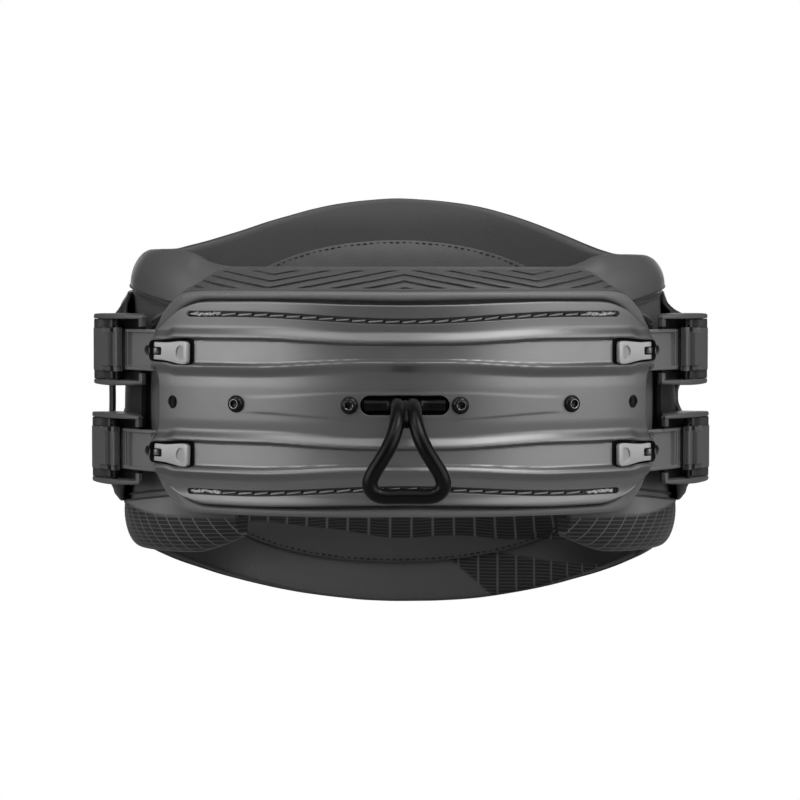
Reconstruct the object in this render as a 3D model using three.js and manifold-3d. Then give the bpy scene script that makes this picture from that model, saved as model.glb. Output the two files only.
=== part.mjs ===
// Waist harness with a curved metal spreader bar and a fixed rod hook.
// Millimetres, +Z up, +Y towards the wearer's back, -Y out of the bar's front,
// +X to the viewer's right. "Outer" means away from the wearer.
// The bar, its ladder straps and buckles lie on arcs about one vertical line at (0, ARC_Y).
// The belt round the wearer is an oval about (0, OVAL_Y): liner, foam carrier and
// hard shell are nested offsets of it.
import * as THREE from "three";
import { mergeVertices } from "three/addons/utils/BufferGeometryUtils.js";
import Module from "manifold-3d";

const wasm = await Module();
wasm.setup();

// ---------- driving dimensions ----------
// Names ending in _AT are degrees of arc from the front; those ending in _R are
// distances from the arc centre. Pairs run from low to high.
const ARC_Y = 55; // arc centre, behind the bar's face
const BAR_R = 205; // mid surface of the bar's sheet
const SHEET = 2.5; // bar sheet thickness
const STRAP_Z = 31; // height of each strap line above and below the bar's middle

const STRAP_W = 25.5;
const STRAP_R = [200.4, 203.4];
const STRAP_AT = [37, 72];

const LATCH_PIN_AT = 46;
const LATCH_PIN_R = 209.1;
const LATCH_MID_AT = 42.6; // middle of the latch lever
const LATCH_BORE = 1.15; // radius

const BUCKLE_PIN_AT = 58.3;
const BUCKLE_PIN_R = 208.4;
const BUCKLE_BORE = 1.9; // radius
const RIVET_AT = 67.3;
const RIVET_HOLE = 2.8; // radius
const LOWER_TURN = 1.1; // the lower buckles sit this much further round than the upper ones

const BOLTS = [
  { name: "inner", at: 9.1, shank: 18.4, nutR: 189.2 },
  { name: "outer", at: 29, shank: 14.6, nutR: 193.2 },
];
const BOLT_HOLE = 3.5; // radius
const SPARE_AT = 42.7; // spare accessory holes

const ROD = 4.5; // hook rod radius
const ROD_Y = -147; // the hook's straight ends in the clamp

const OVAL_HALF_W = 158;
const OVAL_HALF_D = 110;
const OVAL_Y = 5;
// Inner and outer offsets from that oval
const LINER = [0, 10];
const CARRIER = [10.4, 16.2];
const SHELL = [17, 20];
const FLARE = 0.011; // the belt is this share wider 90 mm down, at the hips
const SPREAD = 0.012; // and this share wider again towards its top and bottom edges

// ---------- numbers and places ----------
const radians = (degrees) => (degrees * Math.PI) / 180;
const lerp = (a, b, share) => a + (b - a) * share;
const { smoothstep } = THREE.MathUtils;
const steps = (from, to, count) =>
  Array.from({ length: count + 1 }, (_, i) => lerp(from, to, i / count));
const around = (half) => [-half, half];
// A span on the positive side, or its mirror image when the sign is negative.
const spanOn = (sign, [low, high]) => (sign > 0 ? [low, high] : [-high, -low]);

// Straight-line lookup in rows of [input, output], held flat beyond both ends.
const lookup = (rows) => (x) => {
  if (x <= rows[0][0]) return rows[0][1];
  for (let i = 1; i < rows.length; i++) {
    const [x0, y0] = rows[i - 1];
    const [x1, y1] = rows[i];
    if (x <= x1) return lerp(y0, y1, (x - x0) / (x1 - x0));
  }
  return rows[rows.length - 1][1];
};

// Points on a circle, first and last angle included, in degrees.
function arcPoints([x, y], radius, first, last, step) {
  const points = [];
  for (let a = first; a <= last; a += step)
    points.push([x + radius * Math.cos(radians(a)), y + radius * Math.sin(radians(a))]);
  return points;
}

// A point on the bar's cylinder.
const onArc = (degrees, radius, z) => [
  radius * Math.sin(radians(degrees)),
  ARC_Y - radius * Math.cos(radians(degrees)),
  z,
];

// A point on the belt's oval: degrees (0 = right side, 90 = back), offset outward, height.
function onOval(degrees, offset, z) {
  const widening = 1 - (FLARE * z) / 90 + SPREAD * smoothstep(Math.abs(z), 42, 78);
  const backLean = 4 * (z / 130) ** 2 * Math.max(0, Math.sin(radians(degrees)));
  return [
    (OVAL_HALF_W + offset) * Math.cos(radians(degrees)) * widening,
    OVAL_Y + (OVAL_HALF_D + offset) * Math.sin(radians(degrees)) + backLean,
    z,
  ];
}

// ---------- solids ----------
function solid(points, triangles) {
  const make = (faces) =>
    new wasm.Manifold(
      new wasm.Mesh({
        numProp: 3,
        vertProperties: new Float32Array(points.flat()),
        triVerts: new Uint32Array(faces.flat()),
      }),
    );
  const made = make(triangles);
  return made.volume() < 0 ? make(triangles.map(([a, b, c]) => [a, c, b])) : made;
}

// Closed slab between two grids of points, outerAt(u, v, j) and innerAt(u, v, j),
// where j is the index of v.
function slab(us, vs, outerAt, innerAt) {
  const lastU = us.length - 1;
  const lastV = vs.length - 1;
  const points = [];
  const triangles = [];
  for (const pointAt of [outerAt, innerAt])
    for (const u of us) vs.forEach((v, j) => points.push(pointAt(u, v, j)));
  const id = (grid, i, j) => (grid * us.length + i) * vs.length + j;
  const quad = (a, b, c, d) => triangles.push([a, b, c], [a, c, d]);
  for (let i = 0; i < lastU; i++) {
    for (let j = 0; j < lastV; j++) {
      quad(id(0, i, j), id(0, i + 1, j), id(0, i + 1, j + 1), id(0, i, j + 1));
      quad(id(1, i, j), id(1, i, j + 1), id(1, i + 1, j + 1), id(1, i + 1, j));
    }
    quad(id(0, i, 0), id(1, i, 0), id(1, i + 1, 0), id(0, i + 1, 0));
    quad(id(0, i, lastV), id(0, i + 1, lastV), id(1, i + 1, lastV), id(1, i, lastV));
  }
  for (let j = 0; j < lastV; j++) {
    quad(id(0, 0, j), id(0, 0, j + 1), id(1, 0, j + 1), id(1, 0, j));
    quad(id(0, lastU, j), id(1, lastU, j), id(1, lastU, j + 1), id(0, lastU, j + 1));
  }
  return solid(points, triangles);
}

// Curved block on the bar's arcs.
const arcBlock = ([from, to], [innerR, outerR], heights, count) =>
  slab(
    steps(from, to, count),
    heights,
    (degrees, z) => onArc(degrees, outerR, z),
    (degrees, z) => onArc(degrees, innerR, z),
  );

const triples = (flat) =>
  Array.from({ length: flat.length / 3 }, (_, i) => [...flat.subarray(3 * i, 3 * i + 3)]);

// Weld a three.js geometry by position and drop the triangles that collapse.
function fromGeometry(geometry) {
  const loose = geometry.index ? geometry.toNonIndexed() : geometry;
  const bare = new THREE.BufferGeometry();
  bare.setAttribute("position", loose.getAttribute("position"));
  const welded = mergeVertices(bare, 1e-4);
  const triangles = triples(welded.index.array);
  return solid(
    triples(welded.getAttribute("position").array),
    triangles.filter(([a, b, c]) => a !== b && b !== c && a !== c),
  );
}

// Upright cylinder centred on height 0.
const post = ([x, y], halfHeight, radius, sides) =>
  fromGeometry(
    new THREE.CylinderGeometry(radius, radius, 2 * halfHeight, sides)
      .rotateX(Math.PI / 2)
      .translate(x, y, 0),
  );

// Lathe about a radial line of the bar: profile rows are [radius, distance beyond baseR].
const radialLathe = (degrees, baseR, profile, sides, z = 0) =>
  fromGeometry(
    new THREE.LatheGeometry(profile.map((point) => new THREE.Vector2(...point)), sides)
      .rotateX(Math.PI)
      .rotateZ(radians(degrees))
      .translate(...onArc(degrees, baseR, z)),
  );

function radialCylinder(degrees, [innerR, outerR], radius, sides, z = 0) {
  const length = outerR - innerR;
  const profile = [[0, 0], [radius, 0], [radius, length], [0, length]];
  return radialLathe(degrees, innerR, profile, sides, z);
}

// Cutter for a round hole along a radial line.
const drill = (degrees, radii, radius, z = 0) => radialCylinder(degrees, radii, radius, 8, z);

const shapeOf = (points) => new THREE.Shape(points.map((point) => new THREE.Vector2(...point)));
const extrude = (points, depth) =>
  new THREE.ExtrudeGeometry(shapeOf(points), { depth, bevelEnabled: false });

// Section swept along a smooth curve through the given points.
function sweep(section, path, count) {
  const extrudePath = new THREE.CatmullRomCurve3(path.map((p) => new THREE.Vector3(...p)));
  return fromGeometry(
    new THREE.ExtrudeGeometry(shapeOf(section), { steps: count, extrudePath }),
  );
}

// Prism of an (x, z) outline between two depths.
const prismAlongY = (points, [y0, y1]) =>
  fromGeometry(extrude(points, y1 - y0).rotateX(Math.PI / 2).translate(0, y1, 0));

// Flat prism in a tangent plane of the bar: outline in (along the arc, height),
// between two distances from the arc centre.
const prismTangent = (degrees, points, [innerR, outerR]) =>
  fromGeometry(
    extrude(points, outerR - innerR)
      .rotateX(Math.PI / 2)
      .translate(0, -innerR, 0)
      .rotateZ(radians(degrees))
      .translate(0, ARC_Y, 0),
  );

// Upright prism of an outline in (along the arc, distance from the arc centre).
const prismAlongZ = (degrees, points, halfHeight) =>
  fromGeometry(
    extrude(points.map(([along, radius]) => [along, -radius]), 2 * halfHeight)
      .translate(0, 0, -halfHeight)
      .rotateZ(radians(degrees))
      .translate(0, ARC_Y, 0),
  );

function remap(part, move) {
  const mesh = part.getMesh();
  return solid(triples(mesh.vertProperties).map(move), triples(mesh.triVerts));
}
const mirrorX = (part) => remap(part, ([x, y, z]) => [-x, y, z]);
const lift = (part, rise) => remap(part, ([x, y, z]) => [x, y, z + rise]);

// Turn a solid about the arc centre.
function turn(part, degrees) {
  const c = Math.cos(radians(degrees));
  const s = Math.sin(radians(degrees));
  return remap(part, ([x, y, z]) => [
    c * x - s * (y - ARC_Y),
    s * x + c * (y - ARC_Y) + ARC_Y,
    z,
  ]);
}

// ---------- materials ----------
const standard = (settings) => new THREE.MeshStandardMaterial(settings);
const materials = {
  bar: standard({ color: 0x6e6f70, roughness: 0.45, metalness: 0.55 }),
  hook: standard({ color: 0x0d0d0e, roughness: 0.35, metalness: 0.6 }),
  steel: standard({ color: 0x1c1c1e, roughness: 0.35, metalness: 0.9 }),
  latch: standard({ color: 0xa3a4a5, roughness: 0.4, metalness: 0.8 }),
  strap: standard({ color: 0x666768, roughness: 0.6, metalness: 0 }),
  buckle: standard({ color: 0x565758, roughness: 0.55, metalness: 0 }),
  buckleLever: standard({ color: 0x5c5d5e, roughness: 0.5, metalness: 0 }),
  pad: standard({ color: 0x58595a, roughness: 0.8, metalness: 0 }),
  stiffener: standard({ color: 0x1f1f20, roughness: 0.7, metalness: 0 }),
  shell: standard({ color: 0x343536, roughness: 0.5, metalness: 0 }),
  carrier: standard({ color: 0x6a6b6c, roughness: 0.75, metalness: 0 }),
  liner: standard({ color: 0x3a3b3c, roughness: 0.9, metalness: 0 }),
  tape: standard({ color: 0x9c9d9e, roughness: 0.8, metalness: 0 }),
};

// ---------- adding pieces ----------
const group = new THREE.Group();

function add(name, part, material) {
  const { vertProperties, triVerts } = part.getMesh();
  const geometry = new THREE.BufferGeometry()
    .setAttribute("position", new THREE.BufferAttribute(new Float32Array(vertProperties), 3))
    .setIndex(new THREE.BufferAttribute(new Uint32Array(triVerts), 1));
  geometry.computeVertexNormals();
  const mesh = new THREE.Mesh(geometry, material);
  mesh.name = name;
  group.add(mesh);
}

// Pieces are drawn on the right at height 0 and repeated on each side and strap line.
function addAtCorners(pieces) {
  for (const side of ["right", "left"])
    for (const row of ["upper", "lower"])
      for (const { stem, part, material, lowerTurn } of pieces) {
        const turned = row === "lower" && lowerTurn ? turn(part, lowerTurn) : part;
        const lifted = lift(turned, row === "upper" ? STRAP_Z : -STRAP_Z);
        const placed = side === "right" ? lifted : mirrorX(lifted);
        add(`${stem}_${side}_${row}`, placed, material);
      }
}

// ---------- spreader bar ----------
const BAR_DEPTH = [-170, -30]; // cutters between these depths reach through the whole bar
const latchPinPlace = onArc(LATCH_PIN_AT, LATCH_PIN_R, 0);

// Rows of [height, outward offset] up the sheet, with a pressed channel on each strap line.
function sheetRows(degrees) {
  // Half height of the channel, narrower towards the middle
  const half = lerp(5.2, 8, smoothstep(Math.abs(degrees), 6, 26));
  const upper = [
    [9, 0.8],
    [STRAP_Z - half - 5.5, 0],
    [STRAP_Z - half - 1, 3],
    [STRAP_Z - half + 1, 0.3],
    [STRAP_Z + half - 1, 0.3],
    [STRAP_Z + half + 1, 3],
    [STRAP_Z + half + 5.5, 0.2],
    [63, 0.6],
  ];
  const lower = upper.map(([z, offset]) => [-z, offset]).reverse();
  return [...lower, [0, 0.8], ...upper];
}

// Front-view outline (x, z) of the bar with its ears.
function barOutline() {
  const edgeZ = (x) => lerp(59, 61.3, smoothstep(x, 0, 85));
  const upperRight = [
    ...[0, 30, 60, 90, 118].map((x) => [x, edgeZ(x)]),
    [125.6, 60.6], [137.5, 53.6], [147.5, 46.5], [151.5, 42.5], [153, 38],
    [153, 24], [151.6, 20.5], [149.3, 16], [148.8, 0],
  ];
  const lowerRight = upperRight.slice(0, -1).reverse().map(([x, z]) => [x, -z]);
  const right = [...upperRight, ...lowerRight];
  return [...right, ...right.slice(1, -1).reverse().map(([x, z]) => [-x, z])];
}

// Long narrow slot near the upper (+1) or lower (-1) edge, rising away from the middle.
function edgeSlot(sign) {
  const tipX = 130.6;
  const halfWidth = 1.7;
  const slotZ = (x) =>
    sign * (49.4 + 4.2 * Math.sin((Math.PI / 2) * Math.min(1, Math.abs(x) / 104)) ** 2);
  const xs = steps(-129, 129, 10);
  return prismAlongY(
    [
      [-tipX, slotZ(tipX)],
      ...xs.map((x) => [x, slotZ(x) + halfWidth]),
      [tipX, slotZ(tipX)],
      ...xs.map((x) => [x, slotZ(x) - halfWidth]).reverse(),
    ],
    BAR_DEPTH,
  );
}

// Round-ended slot in the middle of the bar.
function middleSlot() {
  const radius = 5.9;
  const centreX = 20.5;
  const outline = [
    ...arcPoints([centreX, 0], radius, -90, 90, 30),
    ...arcPoints([-centreX, 0], radius, 90, 270, 30),
  ];
  return prismAlongY(outline, [-170, -130]);
}

// Knuckle that holds a latch pin.
function latchKnuckle() {
  const outline = [
    [-2.1, 205.2], [2.1, 205.2], [2.1, 209.4],
    [1.2, 210.9], [-1.2, 210.9], [-2.1, 209.4],
  ];
  return prismAlongZ(LATCH_PIN_AT, outline, 1.8).subtract(
    post(latchPinPlace, 3, LATCH_BORE, 8),
  );
}

function spreaderBar() {
  const face = (shift) => (degrees, _, j) => {
    const [z, offset] = sheetRows(degrees)[j];
    return onArc(degrees, BAR_R + shift + offset, z);
  };
  let bar = slab(steps(-49, 49, 20), steps(0, 16, 16), face(SHEET / 2), face(-SHEET / 2));
  bar = bar.intersect(prismAlongY(barOutline(), BAR_DEPTH));
  const holeRadii = [BAR_R - 6, BAR_R + 6];
  for (const sign of [-1, 1]) {
    // A thin flat land round each spare hole, for an accessory plate
    bar = bar.add(radialCylinder(sign * SPARE_AT, [BAR_R, BAR_R + 2.4], 7.2, 12));
    for (const bolt of BOLTS)
      bar = bar.subtract(drill(sign * bolt.at, holeRadii, BOLT_HOLE));
    bar = bar.subtract(drill(sign * SPARE_AT, holeRadii, 3.9));
  }
  for (const sign of [-1, 1]) bar = bar.subtract(edgeSlot(sign));
  bar = bar.subtract(middleSlot());
  const knuckle = latchKnuckle();
  for (const z of [STRAP_Z, -STRAP_Z])
    for (const part of [knuckle, mirrorX(knuckle)]) bar = bar.add(lift(part, z));
  return bar;
}

add("spreader_bar", spreaderBar(), materials.bar);

// ---------- latch levers and pins ----------
function latchLever() {
  const halfThick = 1.6;
  // Columns: along the arc, height. The forked end straddles the knuckle.
  const outline = [
    [-15.7, -5.4], [-14.2, -7.1], [-8.4, -7.1], [0, -5.8], [14.6, -5.3],
    [14.6, -2.3], [6.6, -2.3], [6.6, 2.3], [14.6, 2.3],
    [14.6, 5.3], [0, 5.8], [-8.4, 7.1], [-14.2, 7.1], [-15.7, 5.4],
  ];
  // The pin's place in the lever's own tangent frame
  const pinTurn = radians(LATCH_PIN_AT - LATCH_MID_AT);
  const pinAlong = LATCH_PIN_R * Math.sin(pinTurn);
  const pinR = LATCH_PIN_R * Math.cos(pinTurn);
  const roundedEnd = [
    [-20, pinR - halfThick],
    ...arcPoints([pinAlong, pinR], halfThick, -90, 90, 45),
    [-20, pinR + halfThick],
  ];
  const dimple = arcPoints([-10.2, 0], 3.9, 0, 315, 45);
  return prismTangent(LATCH_MID_AT, outline, [pinR - halfThick, pinR + halfThick])
    .intersect(prismAlongZ(LATCH_MID_AT, roundedEnd, 10))
    .subtract(post(latchPinPlace, 9, LATCH_BORE, 8))
    .subtract(prismTangent(LATCH_MID_AT, dimple, [pinR + 1.2, pinR + 3]));
}

addAtCorners([
  { stem: "latch_lever", part: latchLever(), material: materials.latch },
  { stem: "latch_pin", part: post(latchPinPlace, 5.1, 0.9, 8), material: materials.steel },
]);

// ---------- hook and clamp ----------
// Centre line (x, y, z) of the hook's right half, from the clamp out, down and in
// to just past the middle.
const HOOK_PATH = [
  [24, ROD_Y, 0], [18, ROD_Y, 0], [12.4, ROD_Y, 0], [8.4, -147.9, 0],
  [5.6, -150.4, 0], [4.45, -154, 0], [4.35, -161, 0], [4.35, -170, 0],
  [4.35, -179, -0.2], [4.5, -188, -2.3], [5.4, -195.5, -7.2], [7.2, -200.4, -13.8],
  [10.3, -203, -21.3], [14.7, -204, -29], [18.8, -204.1, -36], [20.9, -203.6, -41.6],
  [20, -203.1, -46], [16.6, -202.8, -49], [12, -202.7, -49.8], [5, -202.6, -49.8],
  [-0.4, -202.6, -49.8],
];

function hook() {
  const half = sweep(arcPoints([0, 0], ROD, 0, 315, 45), HOOK_PATH, 24);
  return half.add(mirrorX(half));
}

function hookClamp() {
  const boreLength = 49.6;
  const boreRadius = ROD + 0.45;
  const bore = new THREE.CylinderGeometry(boreRadius, boreRadius, boreLength, 12)
    .rotateZ(Math.PI / 2)
    .translate(0, ROD_Y, 0);
  // Opens the bore towards the bar
  const mouth = new THREE.BoxGeometry(boreLength, 6, 9.8).translate(0, ROD_Y - 3, 0);
  let clamp = arcBlock(around(13.6), [194.6, 203.2], around(9.5), 6)
    .subtract(fromGeometry(bore))
    .subtract(fromGeometry(mouth));
  for (const sign of [-1, 1])
    clamp = clamp.subtract(drill(sign * BOLTS[0].at, [190, 206], BOLT_HOLE));
  return clamp;
}

add("hook", hook(), materials.hook);
add("hook_clamp", hookClamp(), materials.steel);

// ---------- bolts and nuts ----------
function barBolt(degrees, shank) {
  // Columns: radius, distance beyond the head's seat. The head has a round recess.
  const profile = [
    [0, -shank], [3, -shank], [3, 0], [5.25, 0], [5.25, 0.5],
    [4.7, 1.9], [3.4, 3], [2, 3.3], [2, 1.3], [0, 1.3],
  ];
  return radialLathe(degrees, BAR_R + SHEET / 2 + 1.1, profile, 8);
}

const barNut = (degrees, innerR) =>
  radialCylinder(degrees, [innerR, innerR + 4.8], 5.7, 6).subtract(
    drill(degrees, [innerR - 1, innerR + 6], BOLT_HOLE),
  );

for (const [side, sign] of [["right", 1], ["left", -1]])
  for (const { name, at, shank, nutR } of BOLTS) {
    add(`bolt_${side}_${name}`, barBolt(sign * at, shank), materials.steel);
    add(`nut_${side}_${name}`, barNut(sign * at, nutR), materials.steel);
  }

// ---------- bar pad, its stiffener and seam tapes ----------
function padStiffener() {
  let stiffener = arcBlock(around(34.5), [199, 201.2], around(43), 10);
  stiffener = stiffener.subtract(arcBlock(around(14.6), [190, 210], around(11), 2));
  for (const sign of [-1, 1])
    stiffener = stiffener.subtract(drill(sign * BOLTS[1].at, [195, 206], BOLT_HOLE));
  return stiffener;
}

const seamTape = (sign) =>
  arcBlock(around(39.6), [200.9, 203], spanOn(sign, [45.9, 57.4]), 16);

// Pad tables. Columns: degrees from the front, then a height or a radius.
const padWearerR = lookup([
  [0, 168], [31.4, 168], [32.6, 184], [40, 188], [46, 189.8], [54, 190.2],
]);
const padEdgeZ = lookup([
  [0, 67], [39.5, 66.6], [45.5, 60], [50.3, 49], [52, 41], [53.5, 26],
]);
const padRecessZ = lookup([
  [0, 61.8], [36, 61.9], [37.8, 61.4], [46.6, 45.4], [48.4, 42.6], [52, 34], [53.5, 22],
]);
const padRimR = lookup([[0, 203.2], [46.6, 203.2], [48.2, 195.8], [60, 195.8]]);
const padFaceR = lookup([[0, 198], [46.6, 198], [48.2, 195.8], [60, 195.8]]);
// The pad rises above its rim at the top.
const padTopZ = lookup([
  [0, 82], [31.2, 82], [36.5, 77.6], [39.5, 71.6], [41, 66.4], [60, 0],
]);
const padTopR = lookup([
  [0, 186], [31.2, 186.4], [36.5, 189.6], [39.5, 194], [41, 198], [60, 195],
]);

// Rows of [height, outer radius] up the pad: a recessed face inside a raised rim.
function padRows(degrees) {
  const edge = padEdgeZ(degrees);
  const recess = padRecessZ(degrees);
  const face = padFaceR(degrees);
  const rim = padRimR(degrees);
  const top = Math.max(edge + 0.25, padTopZ(degrees));
  return [
    [-edge, rim - 3],
    [-edge + 0.9, rim],
    [-recess - 0.5, rim],
    [-recess, face],
    [-recess / 2, face],
    [recess / 2, face],
    [recess, face],
    [recess + 0.5, rim],
    [edge - 0.9, rim],
    [edge, rim - 2.4],
    [top, top > edge + 1 ? padTopR(degrees) : rim - 3],
  ];
}

function barPad() {
  const stations = [8, 16, 24, 31.2, 32.8, 36.5, 39.5, 42.5, 46.6, 48.2, 50.3, 53.5];
  let pad = slab(
    [...stations.map((degrees) => -degrees).reverse(), 0, ...stations],
    steps(0, 10, 10),
    (degrees, _, j) => {
      const [z, radius] = padRows(Math.abs(degrees))[j];
      return onArc(degrees, radius, z);
    },
    (degrees, _, j) => {
      const [z] = padRows(Math.abs(degrees))[j];
      return onArc(degrees, padWearerR(Math.abs(degrees)), z);
    },
  );
  // Pockets for the clamp and the outer nuts
  pad = pad.subtract(arcBlock(around(14.2), [187.5, 210], around(11.5), 2));
  for (const sign of [-1, 1]) pad = pad.subtract(drill(sign * BOLTS[1].at, [190, 206], 8));
  return pad;
}

add("pad_stiffener", padStiffener(), materials.stiffener);
add("seam_tape_upper", seamTape(1), materials.tape);
add("seam_tape_lower", seamTape(-1), materials.tape);
add("bar_pad", barPad(), materials.pad);

// ---------- ladder straps and buckles ----------
const buckleBore = () => post(buclePlace(), 30, BUCKLE_BORE, 8);
function buclePlace() {
  return onArc(BUCKLE_PIN_AT, BUCKLE_PIN_R, 0);
}
const LEVER_HALF = 13.7; // half height of the buckle lever

function ladderStrap() {
  const half = STRAP_W / 2;
  const [innerR, outerR] = STRAP_R;
  // Plain under the bar, with a raised border on each edge further out
  const edgeR = (degrees) => outerR + (degrees > 52.4 ? 1.1 : 0);
  let strap = slab(
    [STRAP_AT[0], 44, 48.5, 52.3, 52.5, 58, 65, STRAP_AT[1]],
    [-half, -half + 2.1, -half + 2.3, half - 2.3, half - 2.1, half],
    (degrees, z, j) => onArc(degrees, j === 2 || j === 3 ? outerR : edgeR(degrees), z),
    (degrees, z) => onArc(degrees, innerR, z),
  );
  const tooth = [[-1.1, 202.8], [1.1, 202.8], [0.8, 204.4], [0.1, 204.4]];
  for (let i = 0; i < 5; i++)
    strap = strap.add(prismAlongZ(55.1 + i * 0.98, tooth, half - 1));
  for (const degrees of [49.1, 45.6, 42.1])
    strap = strap.subtract(drill(degrees, [198, 207], 3.1));
  return strap;
}

function buckleFrame() {
  const start = 50.8;
  const end = 69.4;
  // Columns: degrees, outer radius of the side walls
  const wallR = lookup([[start, 207.4], [53.5, 209.5], [58, 212.4], [66.2, 212.4], [end, 206]]);
  let frame = arcBlock([start, end], [196.4, 199.4], around(22.5), 5);
  for (const sign of [-1, 1]) {
    const wall = slab(
      [start, 53.5, 58, 62, 66.2, end],
      spanOn(sign, [19.1, 22.5]),
      (degrees, z) => onArc(degrees, wallR(degrees), z),
      (degrees, z) => onArc(degrees, 197, z),
    );
    // Short return of the wall across the frame's near end
    const lip = arcBlock([start, 52.2], [197, 207.2], spanOn(sign, [14.6, 22.2]), 1);
    frame = frame.add(wall).add(lip);
  }
  return frame
    .add(radialCylinder(RIVET_AT, [191.8, 197], 5, 8))
    .subtract(buckleBore())
    .subtract(drill(RIVET_AT, [186, 202], RIVET_HOLE))
    .subtract(drill(RIVET_AT, [198.2, 202], 4.8));
}

function buckleLever() {
  let lever = arcBlock([58.6, 66.4], [205.7, 213.4], around(LEVER_HALF), 3)
    .add(arcBlock([57.9, 58.8], [208.4, 213.4], around(LEVER_HALF), 1))
    .add(post(buclePlace(), LEVER_HALF, 3, 14))
    .add(arcBlock([57.35, 58.1], [208.4, 210.6], around(11.5), 1));
  // Low shoulders beside the lever's face fill the frame between its walls
  for (const sign of [-1, 1])
    lever = lever.add(arcBlock([60.2, 66.4], [205.7, 210.2], spanOn(sign, [13.6, 18.4]), 2));
  return lever.subtract(buckleBore());
}

// Three-turn torsion spring round the pin, beside the lever.
function buckleSpring() {
  const [pinX, pinY] = buclePlace();
  const coil = Array.from({ length: 19 }, (_, i) => {
    const angle = (i / 6) * 2 * Math.PI;
    return [
      pinX + 2.6 * Math.cos(angle),
      pinY + 2.6 * Math.sin(angle),
      14.5 + (i / 18) * 3.7,
    ];
  });
  const wire = [[0.42, 0.42], [-0.42, 0.42], [-0.42, -0.42], [0.42, -0.42]];
  return sweep(wire, coil, 18);
}

const buckleRivet = () =>
  radialLathe(
    RIVET_AT,
    187.6,
    [[0, 0], [2.4, 0], [2.4, 10.8], [4.2, 10.8], [4.2, 11.7], [0, 11.7]],
    8,
  );

addAtCorners([
  { stem: "ladder_strap", part: ladderStrap(), material: materials.strap },
  ...[
    { stem: "buckle_frame", part: buckleFrame(), material: materials.buckle },
    { stem: "buckle_lever", part: buckleLever(), material: materials.buckleLever },
    { stem: "buckle_pin", part: post(buclePlace(), 22.3, 1.55, 8), material: materials.steel },
    { stem: "buckle_spring", part: buckleSpring(), material: materials.steel },
    { stem: "buckle_rivet", part: buckleRivet(), material: materials.steel },
  ].map((piece) => ({ ...piece, lowerTurn: LOWER_TURN })),
]);

// Upright strip on each side, just inside the radius of the buckle frames.
const bridge = arcBlock([68.7, 71], [193, 196], around(21), 1);
add("side_bridge_right", bridge, materials.shell);
add("side_bridge_left", mirrorX(bridge), materials.shell);

// ---------- belt ----------
const fromBack = (degrees) => Math.abs(degrees - 90);

// Edge heights. Columns: degrees from the middle of the back, height.
const beltTop = lookup([
  [0, 131.6], [8, 130.4], [17, 126.3], [32, 115.3], [40, 107.5], [57, 96.6],
  [75, 93.5], [116, 93], [130.6, 91.5], [136, 88.7], [144, 82],
]);
const beltBottom = lookup([
  [0, -148.1], [9, -148], [18, -144.6], [37, -132.7], [49, -122.8], [66, -109],
  [80, -101], [100, -97], [116, -96.5], [130, -95], [137, -90.5], [144, -83],
]);
const shellTop = lookup([[0, 108], [30, 98], [60, 78], [80, 68], [100, 62], [117, 52]]);
const shellBottom = lookup([
  [0, -118], [30, -108], [60, -84], [80, -70], [100, -62], [117, -52],
]);

// Layer of the belt between two offsets; the inset trims its top and bottom edges.
function beltLayer(stations, [inner, outer], bottom, top, inset = 0) {
  const heightAt = (degrees, share) =>
    lerp(bottom(fromBack(degrees)) + inset, top(fromBack(degrees)) - inset, share);
  return slab(
    stations,
    steps(0, 1, 4),
    (degrees, share) => onOval(degrees, outer, heightAt(degrees, share)),
    (degrees, share) => onOval(degrees, inner, heightAt(degrees, share)),
  );
}

function outerShell() {
  let shell = beltLayer(steps(-27, 207, 26), SHELL, shellBottom, shellTop);
  for (const sign of [1, -1]) {
    // A window in each side wing, between the two buckles
    const window = new THREE.BoxGeometry(60, 40, 17).translate(sign * 180, 4, 0);
    shell = shell.subtract(fromGeometry(window));
  }
  for (const sign of [-1, 1])
    for (const [z, extra] of [[STRAP_Z, 0], [-STRAP_Z, LOWER_TURN]])
      shell = shell.subtract(drill(sign * (RIVET_AT + extra), [180, 200], RIVET_HOLE, z));
  return shell;
}

// Pad inside the back, with rounded corners.
function lumbarPad() {
  const middleZ = -7;
  const power = 3.2;
  const fullness = (degrees) =>
    Math.max(0, 1 - (fromBack(degrees) / 45.5) ** power) ** (1 / power);
  const face = (offset, height) => (degrees, share) =>
    onOval(
      degrees,
      offset,
      middleZ + (share - 0.5) * height * Math.max(0.25, fullness(degrees)),
    );
  return slab(steps(45, 135, 10), steps(0, 1, 4), face(-0.8, 218), face(-6.5, 214));
}

const beltStations = steps(-54, 234, 32);
add("inner_liner", beltLayer(beltStations, LINER, beltBottom, beltTop), materials.liner);
add(
  "foam_carrier",
  beltLayer(beltStations, CARRIER, beltBottom, beltTop, 1),
  materials.carrier,
);
add("outer_shell", outerShell(), materials.shell);
add("lumbar_pad", lumbarPad(), materials.liner);

// The origin is the centre of the resting footprint: middle of the overall width
// and depth, on the lowest edge.
const box = new THREE.Box3().setFromObject(group);
group.position.set(-(box.min.x + box.max.x) / 2, -(box.min.y + box.max.y) / 2, -box.min.z);

export default group;
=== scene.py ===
"""Looks of a waist harness: a curved spreader bar with a hook, four latches, straps and buckles,
and the foam belt and shell behind it. Lengths are millimetres in the bar's own frame: x right,
y back, z up, zero at the bar's middle; put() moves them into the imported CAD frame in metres."""

import math

import bpy
import numpy as np
from mathutils import Matrix, Vector

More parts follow.
